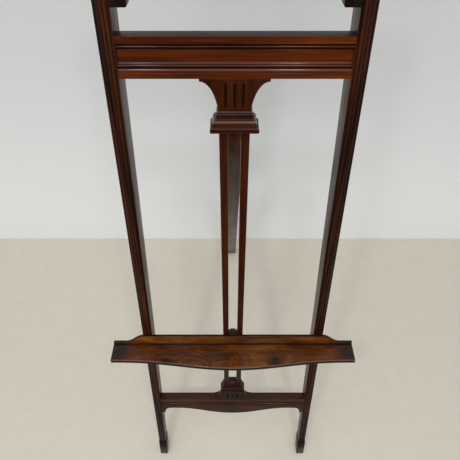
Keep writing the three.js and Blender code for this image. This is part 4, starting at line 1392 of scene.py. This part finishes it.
def make_stage(name, size, location, rotation=(0, 0, 0)):
    bpy.ops.object.select_all(action="DESELECT")
    bpy.ops.mesh.primitive_plane_add(size=1, location=location, rotation=rotation)
    stage = bpy.context.object
    stage.name = name
    stage.scale = (*size, 1)
    return stage


floor = make_stage("floor", (FLOOR_SIZE, FLOOR_SIZE), (0, 0, 0))
finish, tint = plain("pale_floor", colour(0.62, 0.575, 0.485), 0.12)
dress(floor, finish.surface(Base_Color=tint, Roughness=0.85))

wall_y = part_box("rear_leg_pad")[1].y + WALL_BACK
WALL_WIDTH, WALL_HEIGHT = 8, 4
wall = make_stage("wall", (WALL_WIDTH, WALL_HEIGHT), (0, wall_y, WALL_HEIGHT / 2), (math.pi / 2, 0, 0))
finish, tint = plain("pale_wall", colour(0.8, 0.81, 0.82), 0.02)
height = finish.node("ShaderNodeSeparateXYZ", {}, {0: finish.coordinates()}, 1)
height = height * WALL_HEIGHT + WALL_HEIGHT / 2
# painted shade: the wall darkens towards its top
tint = finish.mix(height.between(0.1, 1.3) * 0.33, tint, colour(0, 0, 0))
finish.surface(Base_Color=tint, Roughness=0.8)
shader = next(n for n in finish.tree.nodes if n.type == "BSDF_PRINCIPLED")
behind = finish.node("ShaderNodeNewGeometry", {}, {}, "Backfacing")
clear = finish.node("ShaderNodeBsdfTransparent", {}, {})
both = finish.node("ShaderNodeMixShader", {}, {0: behind, 1: Wire(finish, shader.outputs[0]), 2: clear})
finish.tree.links.new(both.socket, finish.node_output.inputs["Surface"])
dress(wall, finish.material)


def dark_flag(name, shade, size, location, rotation):
    flag = make_stage(name, size, location, rotation)
    finish = Finish(name)
    dress(flag, finish.surface(Base_Color=colour(shade, shade, shade), Roughness=0.9))
    flag.visible_camera = flag.visible_diffuse = flag.visible_shadow = False


FLAG_AWAY, FLAG_HALF, FLAG_TOP = 0.75, 0.55, 1.7
upright_flag = (0, front_line - FLAG_AWAY, FLAG_TOP / 2)
dark_flag("standing_flag", 0.02, (2 * FLAG_HALF, FLAG_TOP), upright_flag, (math.pi / 2, 0, 0))
lying_flag = (0, front_line - FLAG_AWAY / 2 - 0.02, 2 * MM)
dark_flag("lying_flag", 0.22, (2 * FLAG_HALF, FLAG_AWAY), lying_flag, (0, 0, 0))

# %% [markdown]
# ## Soft light
# The pale room itself is the main light. A broad light over the front shapes the mouldings, and two small
# ceiling lamps give the polish on the shelf something to mirror. The plain Standard view keeps the deep
# browns as mixed.

# %% Lights and view
def soft_light(name, location, target, size, power, tint=(1, 1, 1)):
    bpy.ops.object.light_add(type="AREA", location=location)
    light = bpy.context.object
    light.name = name
    light.data.size = size
    light.data.energy = power
    light.data.color = tint
    light.rotation_euler = (Vector(target) - Vector(location)).to_track_quat("-Z", "Y").to_euler()
    return light


soft_light("overhead", (-0.3, -0.9, 2.9), (0, 0, 0.5), 1.8, 12, (1, 0.985, 0.96))
front_fill = soft_light("front_fill", (-0.5, -3.2, 1.5), (0, 0, 0.8), 2.2, 30, (1, 0.98, 0.95))
front_fill.visible_glossy = False
for word, across in (("left", -0.41), ("right", 0.27)):
    soft_light(f"ceiling_lamp_{word}", (across, -0.85, 2.6), (0, -0.2, 0.6), 0.1, 6)

world = bpy.data.worlds.new("pale_room")
bpy.context.scene.world = world
world.use_nodes = True
world.node_tree.nodes["Background"].inputs["Color"].default_value = (0.9, 0.93, 0.95, 1)
world.node_tree.nodes["Background"].inputs["Strength"].default_value = 0.74
bpy.context.scene.view_settings.view_transform = "Standard"
